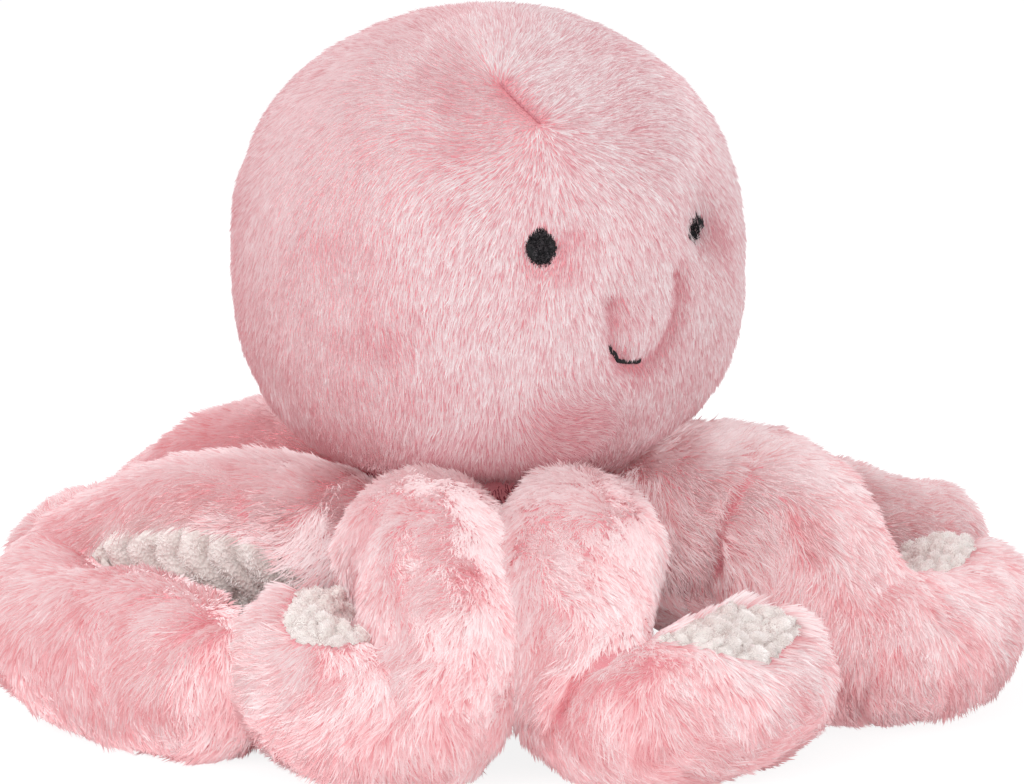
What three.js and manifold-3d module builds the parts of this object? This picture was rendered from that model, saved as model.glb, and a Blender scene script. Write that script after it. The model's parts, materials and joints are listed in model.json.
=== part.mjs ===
import * as THREE from 'three';
import { mergeVertices } from 'three/addons/utils/BufferGeometryUtils.js';
import Module from 'manifold-3d';

// A sitting plush octopus: a stuffed ball head on a short weighted body, with eight arms sewn round it.
// Millimetres, +Z up. The origin is on the floor under the middle of the body, and the face looks along -Y.

const wasm = await Module();
wasm.setup();

// Driving dimensions
const headHalfWidth = 83;
const headHalfHeight = 78.5;
const headCentreHeight = 155.5;
const headTopPower = 2.1;
const headUnderPower = 2.6;
const neckRadius = 24;
const bodyRadius = 39;
const armReach = 100;
const shoulderHeight = 60;
const armHalfWidth = 23.5;
const armHalfHeight = 22;
const armTipRadius = 17;
const posingAzimuth = -34;

// Fabric and fits
const coverWall = 2.4;
const fitGap = 0.3;
const restCut = 0.5;
const armSpacingGap = 3;
const overrun = 10;

// Base and weight
const basePanelThickness = 2.4;
const pouchHeight = 22;
const pouchWall = 1;
const pouchMouthRadius = 6;
const pouchCornerRadius = 8;

// Face
const eyeAzimuth = 21.5;
const eyeRise = 9;
const eyeHalfWidth = 5.2;
const eyeHalfHeight = 6.6;
const stitchThickness = 1.2;
const smileAzimuth = 5;
const smileHalfAngle = 10.5;
const smileEndRise = -8;
const smileDepth = 22;
const smileRoundPower = 0.55;
const smileThreadRadius = 0.9;
const pullThreadRadius = 0.6;
const pullThreadClearance = 0.4;

// Crown seam
const crownSeamAzimuths = [-29, -20];
const crownSeamRises = [58, 47];
const crownSeamRadius = 0.7;

// Mesh fineness
const headSides = 36;
const liningSides = 24;
const bodySides = 24;
const cornerSteps = 3;
const eyeSides = 20;
const coverArcPoints = 8;
const bellyArcPoints = 4;
const settleAngles = 25;
const ringsPerSpan = 2;
const tipCapAngles = [30, 60, 80];
const threadSides = 6;
const threadSteps = 14;

// How far round each arm section the white belly reaches, from its middle to its edge, in degrees
const bellyHalfAngle = 52;

// Where each arm lies, and which way its belly faces. A row is a place on the arm's middle line: to the
// right, towards the viewer and up in the posing frame, as shares of armReach, armReach and
// shoulderHeight, then the way the belly faces there in the same frame.
const armRouteShares = {
  arm_1: [
    [0.18, 0.33, 0.95, -0.3, -0.6, -1],
    [0.27, 0.55, 1.06, -0.1, -0.5, -1],
    [0.31, 0.78, 0.95, 0, -0.9, -0.7],
    [0.31, 0.96, 0.62, 0.2, -1, 0],
    [0.41, 1.05, 0.38, 0.2, -0.7, 0.7],
    [0.62, 1.04, 0.37, 0.1, -0.2, 1],
    [0.81, 0.95, 0.39, 0, 0.1, 1],
    [0.92, 0.81, 0.42, -0.2, 0.1, 1],
  ],
  arm_2: [
    [0.35, 0.12, 0.95, -0.6, 0, -1],
    [0.6, 0.19, 1.12, -0.3, 0, -1],
    [0.84, 0.25, 1.17, -0.5, -0.3, -0.9],
    [1.01, 0.32, 0.94, -0.7, -0.7, -0.3],
    [1.11, 0.37, 0.58, -0.3, -1, 0.2],
    [1.29, 0.33, 0.37, -0.2, -0.7, 0.8],
    [1.51, 0.15, 0.38, -0.6, -0.2, 0.9],
    [1.58, -0.1, 0.42, -0.7, 0.1, 0.9],
  ],
  arm_3: [
    [0.33, -0.17, 0.95, -0.5, 0.2, -1],
    [0.64, -0.33, 0.9, -0.2, 0.1, -1],
    [0.94, -0.46, 0.8, -0.2, 0, -1],
    [1.24, -0.57, 0.7, -0.2, -0.6, -0.8],
    [1.47, -0.75, 0.46, -0.8, -0.6, 0.3],
    [1.49, -1.01, 0.37, -0.9, 0.3, 0.6],
    [1.3, -1.14, 0.4, -0.2, 0.8, 0.7],
  ],
  arm_4: [
    [0.12, -0.36, 0.95, -0.2, 0.6, -1],
    [0.21, -0.6, 1.05, 0, 0.4, -1],
    [0.31, -0.84, 0.92, -0.1, 0.9, -0.7],
    [0.4, -1.06, 0.56, -0.3, 1, 0],
    [0.37, -1.26, 0.38, -0.3, 0.7, 0.7],
    [0.2, -1.36, 0.39, 0, 0.2, 1],
    [0.01, -1.3, 0.43, 0.3, 0, 1],
    [-0.05, -1.15, 0.46, 0.4, 0, 1],
  ],
  arm_5: [
    [-0.16, -0.34, 0.95, 0.3, 0.6, -1],
    [-0.27, -0.59, 1.05, 0.1, 0.4, -1],
    [-0.37, -0.83, 0.92, 0, 0.9, -0.7],
    [-0.46, -1.06, 0.56, -0.2, 1, 0],
    [-0.57, -1.24, 0.38, -0.2, 0.7, 0.7],
    [-0.75, -1.32, 0.39, 0, 0.2, 1],
    [-0.93, -1.27, 0.43, 0.2, 0, 1],
    [-1.02, -1.12, 0.46, 0.4, 0, 1],
  ],
  arm_6: [
    [-0.36, -0.13, 0.95, 0.6, 0.1, -1],
    [-0.62, -0.29, 1.12, 0.3, 0.1, -1],
    [-0.89, -0.44, 1.06, 0.4, -0.1, -0.9],
    [-1.13, -0.54, 0.7, 0.3, -0.8, -0.5],
    [-1.32, -0.65, 0.42, 0.3, -1, 0.1],
    [-1.43, -0.82, 0.37, 0.8, -0.6, 0.5],
    [-1.42, -1.0, 0.4, 0.9, 0.2, 0.7],
  ],
  arm_7: [
    [-0.33, 0.18, 0.95, 0.5, 0, -1],
    [-0.6, 0.19, 1.0, 0.1, 0.6, -1],
    [-0.87, 0.13, 0.95, 0, 1, -0.5],
    [-1.12, 0.02, 0.82, 0.2, 1, -0.2],
    [-1.31, 0.02, 0.63, 0.7, 0.8, 0],
    [-1.4, 0.18, 0.48, 1, 0.2, 0],
    [-1.31, 0.39, 0.4, 0.8, -0.6, 0],
    [-1.14, 0.59, 0.37, 0.7, -0.8, 0],
    [-0.96, 0.78, 0.34, 0.5, -0.9, 0.2],
  ],
  arm_8: [
    [-0.11, 0.36, 0.95, 0.2, -0.6, -1],
    [-0.18, 0.58, 1.06, 0, -0.5, -1],
    [-0.21, 0.8, 0.95, 0, -0.9, -0.7],
    [-0.17, 0.98, 0.62, 0, -1, 0],
    [-0.25, 1.07, 0.38, 0, -0.8, 0.6],
    [-0.44, 1.07, 0.38, 0, -0.2, 1],
    [-0.59, 0.97, 0.46, 0.2, 0.1, 1],
    [-0.64, 0.81, 0.56, 0.4, 0.1, 0.9],
  ],
};

// The arm's half width and half height along its length, as shares of armHalfWidth and armHalfHeight
const armSwellShares = [0.8, 0.98, 1.02, 1.0, 0.98, 0.94, 0.84];

// Inside a bend a section stops at this share of its way to the planes of that many sections on each side
const bendFillShare = 0.85;
const fenceSteps = 5;

const colours = {
  head: 0xeebec8,
  arm: 0xf2bcc4,
  belly: 0xf0ebe4,
  fibre: 0xf6f4f0,
  thread: 0x17151a,
  seam: 0xcf7f8a,
  pouch: 0xe9e4da,
  pellets: 0xd8dadd,
};

function finish(colour, roughness) {
  return new THREE.MeshStandardMaterial({ color: colour, roughness, metalness: 0 });
}

const finishes = {
  head: finish(colours.head, 1),
  arm: finish(colours.arm, 1),
  belly: finish(colours.belly, 1),
  fibre: finish(colours.fibre, 1),
  thread: finish(colours.thread, 0.6),
  seam: finish(colours.seam, 0.9),
  pouch: finish(colours.pouch, 1),
  pellets: finish(colours.pellets, 0.5),
};

// Solids and meshes

function volumeSign(position, index) {
  let sum = 0;
  const a = new THREE.Vector3();
  const b = new THREE.Vector3();
  const c = new THREE.Vector3();
  for (let i = 0; i < index.count; i += 3) {
    a.fromBufferAttribute(position, index.getX(i));
    b.fromBufferAttribute(position, index.getX(i + 1));
    c.fromBufferAttribute(position, index.getX(i + 2));
    sum += a.dot(b.cross(c));
  }
  return Math.sign(sum);
}

function solidOf(geometry) {
  const bare = geometry.clone();
  bare.deleteAttribute('normal');
  bare.deleteAttribute('uv');
  const merged = mergeVertices(bare);
  const inward = volumeSign(merged.attributes.position, merged.index) < 0;
  const triangles = [];
  for (let i = 0; i < merged.index.count; i += 3) {
    const corners = [0, 1, 2].map((k) => merged.index.getX(i + k));
    const collapsed = new Set(corners).size < corners.length;
    if (!collapsed) triangles.push(...(inward ? corners.reverse() : corners));
  }
  const mesh = new wasm.Mesh({
    numProp: 3,
    vertProperties: new Float32Array(merged.attributes.position.array),
    triVerts: new Uint32Array(triangles),
  });
  return new wasm.Manifold(mesh);
}

function geometryOf(solid) {
  const mesh = solid.getMesh();
  const geometry = new THREE.BufferGeometry();
  geometry.setAttribute('position', new THREE.BufferAttribute(mesh.vertProperties, 3));
  geometry.setIndex(new THREE.BufferAttribute(mesh.triVerts, 1));
  geometry.computeVertexNormals();
  return geometry;
}

function named(name, solid, look) {
  const mesh = new THREE.Mesh(geometryOf(solid), look);
  mesh.name = name;
  return mesh;
}

// A profile of [radius, height] places turned about the vertical axis
function turned(profile, sides) {
  const points = profile.map(([radius, height]) => new THREE.Vector2(radius, height));
  const lathe = new THREE.LatheGeometry(points, sides);
  lathe.rotateX(Math.PI / 2);
  return solidOf(lathe);
}

function disc(radius, low, high, sides = bodySides) {
  return turned([[0, low], [radius, low], [radius, high], [0, high]], sides);
}

function evenly(from, to, count) {
  return Array.from({ length: count }, (_, i) => from + (to - from) * i / (count - 1));
}

// Rings of points joined into one closed skin, with both end rings filled in. Each four-cornered face is
// split along its shorter diagonal, so that two skins that lie side by side are split alike.
function ringsSolid(rings) {
  const sides = rings[0].length;
  const points = rings.flat();
  const positions = points.flatMap((point) => point.toArray());
  const triangles = [];
  for (let ring = 0; ring + 1 < rings.length; ring += 1) {
    for (let side = 0; side < sides; side += 1) {
      const a = ring * sides + side;
      const b = ring * sides + (side + 1) % sides;
      const [c, d] = [b + sides, a + sides];
      const straight = points[a].distanceTo(points[c]) < points[b].distanceTo(points[d]);
      triangles.push(...(straight ? [a, b, c, a, c, d] : [a, b, d, b, c, d]));
    }
  }
  for (const ring of [0, rings.length - 1]) {
    for (const corners of THREE.ShapeUtils.triangulateShape(flatOutline(rings[ring]), [])) {
      const placed = corners.map((corner) => ring * sides + corner);
      triangles.push(...(ring === 0 ? placed.reverse() : placed));
    }
  }
  const geometry = new THREE.BufferGeometry();
  geometry.setAttribute('position', new THREE.Float32BufferAttribute(positions, 3));
  geometry.setIndex(triangles);
  return solidOf(geometry);
}

// A ring's points laid flat on the plane that they lie in
function flatOutline(ring) {
  const normal = new THREE.Vector3();
  ring.forEach((point, i) => {
    const next = ring[(i + 1) % ring.length];
    normal.add(point.clone().sub(ring[0]).cross(next.clone().sub(ring[0])));
  });
  normal.normalize();
  const across = ring[1].clone().sub(ring[0]);
  across.addScaledVector(normal, -across.dot(normal)).normalize();
  const up = normal.clone().cross(across);
  return ring.map((point) => new THREE.Vector2(point.dot(across), point.dot(up)));
}

// Directions

const radians = THREE.MathUtils.degToRad;

function outwardAt(azimuth) {
  return new THREE.Vector3(Math.sin(radians(azimuth)), -Math.cos(radians(azimuth)), 0);
}

function fromPosingFrame(right, forward, up) {
  const turn = radians(posingAzimuth);
  const x = right * Math.cos(turn) + forward * Math.sin(turn);
  const y = right * Math.sin(turn) - forward * Math.cos(turn);
  return new THREE.Vector3(x, y, up);
}

// Head: a round ball with a fuller underside, each half its own rounded-square curve

function headRadiusAt(rise, grow) {
  const power = rise > 0 ? headTopPower : headUnderPower;
  const up = Math.abs(rise) / (headHalfHeight + grow);
  return (headHalfWidth + grow) * (1 - up ** power) ** (1 / power);
}

function headBall(grow, sides = headSides) {
  const profile = evenly(0, Math.PI, sides / 2 + 1).map((angle) => {
    const rise = (headHalfHeight + grow) * Math.cos(angle);
    const atPole = angle === 0 || angle === Math.PI;
    return [atPole ? 0 : headRadiusAt(rise, grow), headCentreHeight + rise];
  });
  return turned(profile, sides);
}

function onHead(azimuth, rise, grow) {
  const place = outwardAt(azimuth).multiplyScalar(headRadiusAt(rise, grow));
  place.z = headCentreHeight + rise;
  return place;
}

function headPieces() {
  const neck = disc(neckRadius, 0, headCentreHeight);
  const lining = headBall(-coverWall, liningSides);
  const filled = headBall(-coverWall - fitGap, liningSides);
  const channel = pullThread(pullThreadRadius + pullThreadClearance);
  return [
    ['head_cover', headBall(0).subtract(lining).subtract(neck), finishes.head],
    ['head_stuffing', filled.subtract(channel), finishes.fibre],
    ['face_pull_thread', pullThread(pullThreadRadius).intersect(filled), finishes.fibre],
    ['eye_right', eye(-eyeAzimuth), finishes.thread],
    ['eye_left', eye(eyeAzimuth), finishes.thread],
    ['smile_thread', smile(), finishes.thread],
    ['crown_seam_thread', crownSeam(), finishes.seam],
  ];
}

// An oval of satin stitch lying on the head's skin
function eye(azimuth) {
  const skin = headBall(fitGap + stitchThickness).subtract(headBall(fitGap));
  const punch = new THREE.CylinderGeometry(eyeHalfWidth, eyeHalfWidth, headHalfWidth, eyeSides);
  punch.scale(1, 1, eyeHalfHeight / eyeHalfWidth);
  punch.rotateZ(radians(azimuth));
  const centre = outwardAt(azimuth).multiplyScalar(headHalfWidth);
  punch.translate(centre.x, centre.y, headCentreHeight + eyeRise);
  return skin.intersect(solidOf(punch));
}

// A round thread through the places given, each with the way out of the surface that it lies on
function thread(places, radius) {
  const rings = places.map((place, i) => {
    const before = places[Math.max(i - 1, 0)];
    const after = places[Math.min(i + 1, places.length - 1)];
    const along = after.clone().sub(before).normalize();
    const away = new THREE.Vector3(place.x, place.y, 0).normalize();
    const side = along.clone().cross(away).normalize();
    const over = side.clone().cross(along);
    return evenly(0, 2 * Math.PI, threadSides + 1).slice(1).map((angle) => place.clone()
      .addScaledVector(side, Math.cos(angle) * radius)
      .addScaledVector(over, Math.sin(angle) * radius));
  });
  return ringsSolid(rings);
}

function smile() {
  const grow = fitGap + smileThreadRadius;
  const places = evenly(0, Math.PI, threadSteps).map((angle) => {
    const drop = smileDepth * Math.abs(Math.sin(angle)) ** smileRoundPower;
    const azimuth = smileAzimuth - smileHalfAngle * Math.cos(angle);
    return onHead(azimuth, smileEndRise - drop, grow);
  });
  return thread(places, smileThreadRadius);
}

function crownSeam() {
  const grow = fitGap + crownSeamRadius;
  const places = evenly(0, 1, threadSides).map((share) => {
    const azimuth = THREE.MathUtils.lerp(...crownSeamAzimuths, share);
    return onHead(azimuth, THREE.MathUtils.lerp(...crownSeamRises, share), grow);
  });
  return thread(places, crownSeamRadius);
}

// The thread through the head from eye to eye, that draws both into their dimples
function pullThread(radius) {
  return thread([eyeAzimuth, -eyeAzimuth].map((azimuth) => onHead(azimuth, eyeRise, 0)), radius);
}

// Body: a short fabric tube from the base panel up to the head, with the weight in its foot

function bodyPieces() {
  const floor = basePanelThickness + fitGap;
  const top = headCentreHeight;
  const inner = bodyRadius - coverWall;
  const tube = disc(bodyRadius, floor, top).subtract(disc(inner, -overrun, top + overrun));
  const pouchTop = floor + pouchHeight;
  const fill = disc(inner - fitGap, pouchTop + fitGap, top).subtract(headBall(fitGap));
  const lining = headBall(-coverWall, liningSides);
  const plug = disc(neckRadius - fitGap, pouchTop + fitGap, top).subtract(lining);
  return [
    ['body_cover', tube.subtract(headBall(fitGap)), finishes.arm],
    ['body_stuffing', fill.add(plug), finishes.fibre],
    ['pellet_pouch', pouch(floor, 0, pouchMouthRadius), finishes.pouch],
    ['pellet_fill', pouch(floor, pouchWall + fitGap, 0), finishes.pellets],
    ['base_panel', disc(bodyRadius, 0, basePanelThickness), finishes.belly],
  ];
}

// With a mouth radius this is the pouch's shell, and without one the fill that lies in it
function pouch(floor, inset, mouth) {
  const radius = bodyRadius - coverWall - fitGap;
  const outside = pouchProfile(floor, radius, inset);
  if (mouth === 0) {
    return turned([[0, floor + inset], ...outside, [0, floor + pouchHeight - inset]], bodySides);
  }
  const inside = pouchProfile(floor, radius, inset + pouchWall).reverse();
  const shell = [
    [0, floor],
    ...outside,
    [mouth, floor + pouchHeight],
    [mouth, floor + pouchHeight - pouchWall],
    ...inside,
    [0, floor + pouchWall],
  ];
  return turned(shell, bodySides);
}

function pouchProfile(floor, radius, inset) {
  const corner = pouchCornerRadius - inset;
  const rounded = (height, from, to) => evenly(from, to, cornerSteps).map((angle) => [
    radius - pouchCornerRadius + Math.cos(angle) * corner,
    height + Math.sin(angle) * corner,
  ]);
  return [
    ...rounded(floor + pouchCornerRadius, -Math.PI / 2, 0),
    ...rounded(floor + pouchHeight - pouchCornerRadius, 0, Math.PI / 2),
  ];
}

// Arms

function swellAt(share) {
  const place = share * (armSwellShares.length - 1);
  const low = Math.min(Math.floor(place), armSwellShares.length - 2);
  return THREE.MathUtils.lerp(armSwellShares[low], armSwellShares[low + 1], place - low);
}

// The arm's middle line as stations, each with its place, its directions and its size
function armStations(rows) {
  const line = new THREE.CatmullRomCurve3(rows.map(([right, forward, up]) =>
    fromPosingFrame(right * armReach, forward * armReach, up * shoulderHeight)), false, 'catmullrom');
  const bellyLine = new THREE.CatmullRomCurve3(
    rows.map((row) => fromPosingFrame(row[3], row[4], row[5])), false, 'catmullrom');
  const count = (rows.length - 1) * ringsPerSpan;
  const stations = evenly(0, 1, count + 1).map((share) => armStation(line, bellyLine, share, 1 / count));
  stations.forEach(settle);
  const last = stations[count];
  for (const turn of tipCapAngles.map(radians)) {
    const place = last.place.clone().addScaledVector(last.along, Math.sin(turn) * armTipRadius);
    stations.push({ ...last, place, shrink: Math.cos(turn) });
  }
  return stations.map((station, index) => ({ ...station, fences: fencesOf(stations, index) }));
}

function armStation(line, bellyLine, share, gap) {
  const middle = THREE.MathUtils.clamp(share, gap / 2, 1 - gap / 2);
  const along = line.getPoint(middle + gap / 2).sub(line.getPoint(middle - gap / 2)).normalize();
  const belly = bellyLine.getPoint(share);
  belly.addScaledVector(along, -belly.dot(along)).normalize();
  const across = along.clone().cross(belly);
  return { place: line.getPoint(share), along, belly, across, swell: swellAt(share), shrink: 1, fences: [] };
}

// The planes of the sections around one section, each with the way towards it and how far off it is
function fencesOf(stations, index) {
  const { place } = stations[index];
  return stations.flatMap((other, otherIndex) => {
    const steps = otherIndex - index;
    if (steps === 0 || Math.abs(steps) > fenceSteps) return [];
    const way = other.along.clone().multiplyScalar(Math.sign(steps));
    const away = other.place.clone().sub(place).dot(way);
    return away > 0 ? [{ way, away }] : [];
  });
}

// An arm that would sink into the floor is lifted until it stands in it by the depth of the flat cut
function settle(station) {
  const heights = evenly(0, 2 * Math.PI, settleAngles).map((angle) => sectionPoint(station, angle, 0).z);
  const sunk = -restCut - Math.min(...heights);
  if (sunk > 0) station.place.z += sunk;
}

// Half of what the neighbouring arms leave, where they start side by side
function sideRoom(place) {
  const neighbours = Object.keys(armRouteShares).length;
  return Math.hypot(place.x, place.y) * Math.tan(Math.PI / neighbours) - armSpacingGap / 2;
}

// A point of the arm's section: angle 0 is the middle of the belly, and inset is the depth under the skin.
// Inside a bend the section stays short of the planes of the sections around it.
function sectionPoint(station, angle, inset) {
  const { place, belly, across, shrink, swell, fences } = station;
  const halfWidth = Math.min(armHalfWidth * swell, sideRoom(place)) * shrink;
  const halfHeight = armHalfHeight * swell * shrink;
  const offset = belly.clone().multiplyScalar(Math.cos(angle) * halfHeight);
  offset.addScaledVector(across, Math.sin(angle) * halfWidth);
  const reaches = fences.map(({ way, away }) => {
    const stop = bendFillShare * away;
    return stop / Math.max(offset.dot(way), stop);
  });
  const reach = offset.length() * Math.min(1, ...reaches);
  return place.clone().add(offset.setLength(Math.max(reach - inset, fitGap)));
}

// A band of the arm's skin between two angles round its section and two depths under its skin
function armBand(stations, angles, outerInset, innerInset) {
  const back = [...angles].reverse();
  return ringsSolid(stations.map((station) => [
    ...angles.map((angle) => sectionPoint(station, angle, outerInset)),
    ...back.map((angle) => sectionPoint(station, angle, innerInset)),
  ]));
}

function armTube(stations, angles, inset) {
  return ringsSolid(stations.map((station) =>
    angles.map((angle) => sectionPoint(station, angle, inset))));
}

// Where a neighbour pinches off a sliver, the piece is its largest body
function mainBody(solid) {
  return solid.decompose().reduce((best, body) => (body.volume() > best.volume() ? body : best));
}

// The cover wraps an arm's back and sides, the belly closes it underneath, and the stuffing fills both
function armPieces(name, stations, keepOut) {
  const edge = radians(bellyHalfAngle);
  const seam = fitGap / armTipRadius;
  const coverAngles = evenly(edge + seam, 2 * Math.PI - edge - seam, coverArcPoints);
  const bellyAngles = evenly(-edge, edge, bellyArcPoints);
  const cover = armBand(stations, coverAngles, 0, coverWall);
  const belly = armBand(stations, bellyAngles, 0, coverWall);
  const core = armTube(stations.slice(0, -1), [...bellyAngles, ...coverAngles], coverWall + fitGap);
  return [
    [`${name}_cover`, mainBody(cover.subtract(keepOut)), finishes.arm],
    [`${name}_belly`, mainBody(belly.subtract(keepOut)), finishes.belly],
    [`${name}_stuffing`, mainBody(core.subtract(keepOut)), finishes.fibre],
  ];
}

// What no arm may reach into: the head, the body and the floor
function bodyRoom() {
  const body = disc(bodyRadius + fitGap, -overrun, headCentreHeight);
  const underFloor = disc(armReach * 2, -armReach, 0);
  return headBall(fitGap).add(body).add(underFloor);
}

// An arm's whole skin with the fit gap around it: the next arm is cut back from it
function armRoom(stations) {
  const edge = radians(bellyHalfAngle);
  const backAngles = evenly(edge, 2 * Math.PI - edge, coverArcPoints).slice(1, -1);
  return armTube(stations, [...evenly(-edge, edge, bellyArcPoints), ...backAngles], -fitGap);
}

function armsPieces() {
  const arms = Object.entries(armRouteShares).map(([name, rows]) => [name, armStations(rows)]);
  const room = bodyRoom();
  return arms.flatMap(([name, stations], index) => {
    const last = index === arms.length - 1;
    const neighbours = arms.filter((arm, other) => other === index - 1 || (last && other === 0));
    const keepOut = neighbours.reduce((whole, [, others]) => whole.add(armRoom(others)), room);
    return armPieces(name, stations, keepOut);
  });
}

const octopus = new THREE.Group();
for (const [name, solid, look] of [...headPieces(), ...bodyPieces(), ...armsPieces()]) {
  octopus.add(named(name, solid, look));
}

export default octopus;
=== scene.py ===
# %% [markdown]
# # A sitting plush octopus
# A soft toy is a set of stuffed bags. This one has a ball head, a short weighted body and eight
# curled arms, each pink on its back and white and nubbly underneath. The pile is what the eye
# sees, so most of this lesson is about growing it: where it stands, which way it is combed, how it
# gathers into tufts, and the painted shade that darkens it towards its roots.

# %% Load the frame
import heapq
import json
import math

import bmesh
import bpy
import numpy as np
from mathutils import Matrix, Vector, noise
from mathutils.bvhtree import BVHTree


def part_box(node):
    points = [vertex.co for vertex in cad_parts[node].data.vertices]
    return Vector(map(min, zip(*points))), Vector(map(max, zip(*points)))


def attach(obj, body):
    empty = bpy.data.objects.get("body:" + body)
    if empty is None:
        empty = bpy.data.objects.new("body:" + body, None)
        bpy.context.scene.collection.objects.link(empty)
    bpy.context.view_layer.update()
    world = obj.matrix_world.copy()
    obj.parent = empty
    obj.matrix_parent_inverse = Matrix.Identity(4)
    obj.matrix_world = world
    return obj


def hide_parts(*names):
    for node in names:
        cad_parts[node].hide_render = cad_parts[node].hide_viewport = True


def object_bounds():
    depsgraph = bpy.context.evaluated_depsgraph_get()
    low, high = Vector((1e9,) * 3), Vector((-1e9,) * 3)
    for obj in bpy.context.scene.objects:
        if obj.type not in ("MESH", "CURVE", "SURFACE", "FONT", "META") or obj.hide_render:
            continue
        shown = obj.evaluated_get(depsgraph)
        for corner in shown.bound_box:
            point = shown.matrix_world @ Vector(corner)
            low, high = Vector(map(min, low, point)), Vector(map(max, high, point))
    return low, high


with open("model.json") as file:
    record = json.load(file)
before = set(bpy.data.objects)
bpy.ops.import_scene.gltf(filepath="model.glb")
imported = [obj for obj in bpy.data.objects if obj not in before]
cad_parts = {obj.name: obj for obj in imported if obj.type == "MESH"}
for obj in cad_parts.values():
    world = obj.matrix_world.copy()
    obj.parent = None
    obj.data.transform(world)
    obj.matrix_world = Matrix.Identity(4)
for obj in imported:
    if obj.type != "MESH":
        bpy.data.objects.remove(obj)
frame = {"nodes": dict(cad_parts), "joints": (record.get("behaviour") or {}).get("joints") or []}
solids = frame["nodes"]
cad_low, cad_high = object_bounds()
arms = {joint["child"]: Vector(joint["pos_m"]) for joint in frame["joints"]}
print("arms:", ", ".join(arms), "box:", [round(side, 3) for side in cad_high - cad_low])

# %% [markdown]
# ## Camera, floor and light
# The photograph was taken from a little above the table, a tenth of a turn off the toy's face, with
# a long lens. A long lens far away keeps the head round. The backdrop is white paper: the floor
# shows itself white to the camera, and still takes a faint shadow. Four soft lamps light the toy.

# %% Camera
MM = 0.001
view_azimuth = math.radians(-34)
view_elevation = math.radians(9)
camera_distance = 1.2
camera_lens = 124.07
aim_right = 8.5 * MM
aim_height = 104.5 * MM

view_right = Vector((math.cos(view_azimuth), math.sin(view_azimuth), 0))
view_back = Vector((
    math.sin(view_azimuth) * math.cos(view_elevation),
    -math.cos(view_azimuth) * math.cos(view_elevation),
    math.sin(view_elevation),
))
view_up = view_back.cross(view_right)
camera_data = bpy.data.cameras.new("camera")
camera_data.lens = camera_lens
camera_data.clip_end = 100
camera = bpy.data.objects.new("camera", camera_data)
bpy.context.scene.collection.objects.link(camera)
camera.location = view_right * aim_right + Vector((0, 0, aim_height)) + view_back * camera_distance
camera.rotation_euler = (-view_back).to_track_quat("-Z", "Y").to_euler()
bpy.context.scene.camera = camera
bpy.context.scene.view_settings.view_transform = "Standard"
photo_columns = 1024
photo_rows = 784
focal_columns = camera_lens / camera_data.sensor_width * photo_columns


def ray_through(column, row):
    """The way from the camera through a point of the photograph's frame."""
    across = (column - photo_columns / 2) / focal_columns
    up = (photo_rows / 2 - row) / focal_columns
    return (view_right * across + view_up * up - view_back).normalized()


print("camera at", [round(part, 3) for part in camera.location])


# %% Node helpers
def add_node(tree, kind, inputs=None, **settings):
    """A node with its settings, and its inputs by name or number: a socket is linked, a value is set."""
    made = tree.nodes.new(kind)
    for key, value in settings.items():
        setattr(made, key, value)
    for key, value in (inputs or {}).items():
        if isinstance(value, bpy.types.NodeSocket):
            tree.links.new(value, made.inputs[key])
        else:
            made.inputs[key].default_value = value
    return made


def number(tree, operation, *values):
    """One sum of numbers as a node, and its answer."""
    inputs = dict(enumerate(values))
    return add_node(tree, "ShaderNodeMath", inputs, operation=operation).outputs[0]


def vector(tree, operation, *values):
    """One sum of vectors as a node, and its answer. Scaling takes its number last."""
    inputs = dict(enumerate(values))
    if operation == "SCALE":
        inputs = {0: values[0], "Scale": values[1]}
    return add_node(tree, "ShaderNodeVectorMath", inputs, operation=operation).outputs["Vector"]


def new_material(name):
    material = bpy.data.materials.new(name)
    material.use_nodes = True
    return material, material.node_tree, material.node_tree.nodes["Principled BSDF"]


# %% Floor and light
floor_half_width = 40
floor_glow = 1.09
floor_glow_share = 0.8
floor_drop = 0.5 * MM
paper_colour = (0.82, 0.82, 0.82, 1)
white = (1, 1, 1, 1)
world_strength = 0.87
# How far each lamp stands to the right, in front and up in metres, its width, and its watts
lamps = {
    "key": (-1.2, 0.75, 1.45, 1.0, 13.6),
    "fill": (0.7, 1.2, 0.8, 1.2, 4.8),
    "back_right": (1.1, -1.2, 0.9, 1.2, 4),
    "back_left": (-1.2, -0.9, 1.0, 1.2, 9),
}


def camera_sees(tree):
    """1 where the camera looks, directly or through a reflection, so that paper stays white there."""
    rays = add_node(tree, "ShaderNodeLightPath")
    seen = number(tree, "MAXIMUM", rays.outputs["Is Camera Ray"], rays.outputs["Is Glossy Ray"])
    return number(tree, "MAXIMUM", seen, rays.outputs["Is Transmission Ray"])


def paper_material():
    material, tree, shader = new_material("white_paper")
    shader.inputs["Base Color"].default_value = paper_colour
    shader.inputs["Roughness"].default_value = 1
    glow = add_node(tree, "ShaderNodeEmission", {"Color": white, "Strength": floor_glow})
    share = number(tree, "MULTIPLY", camera_sees(tree), floor_glow_share)
    mix = add_node(tree, "ShaderNodeMixShader", {0: share, 1: shader.outputs[0], 2: glow.outputs[0]})
    tree.links.new(mix.outputs[0], tree.nodes["Material Output"].inputs["Surface"])
    return material


def area_lamp(name, place, width, power):
    data = bpy.data.lights.new(name, "AREA")
    data.size = width
    data.energy = power
    lamp = bpy.data.objects.new(name, data)
    bpy.context.scene.collection.objects.link(lamp)
    lamp.location = place
    towards = Vector((0, 0, aim_height)) - lamp.location
    lamp.rotation_euler = towards.to_track_quat("-Z", "Y").to_euler()


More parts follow.
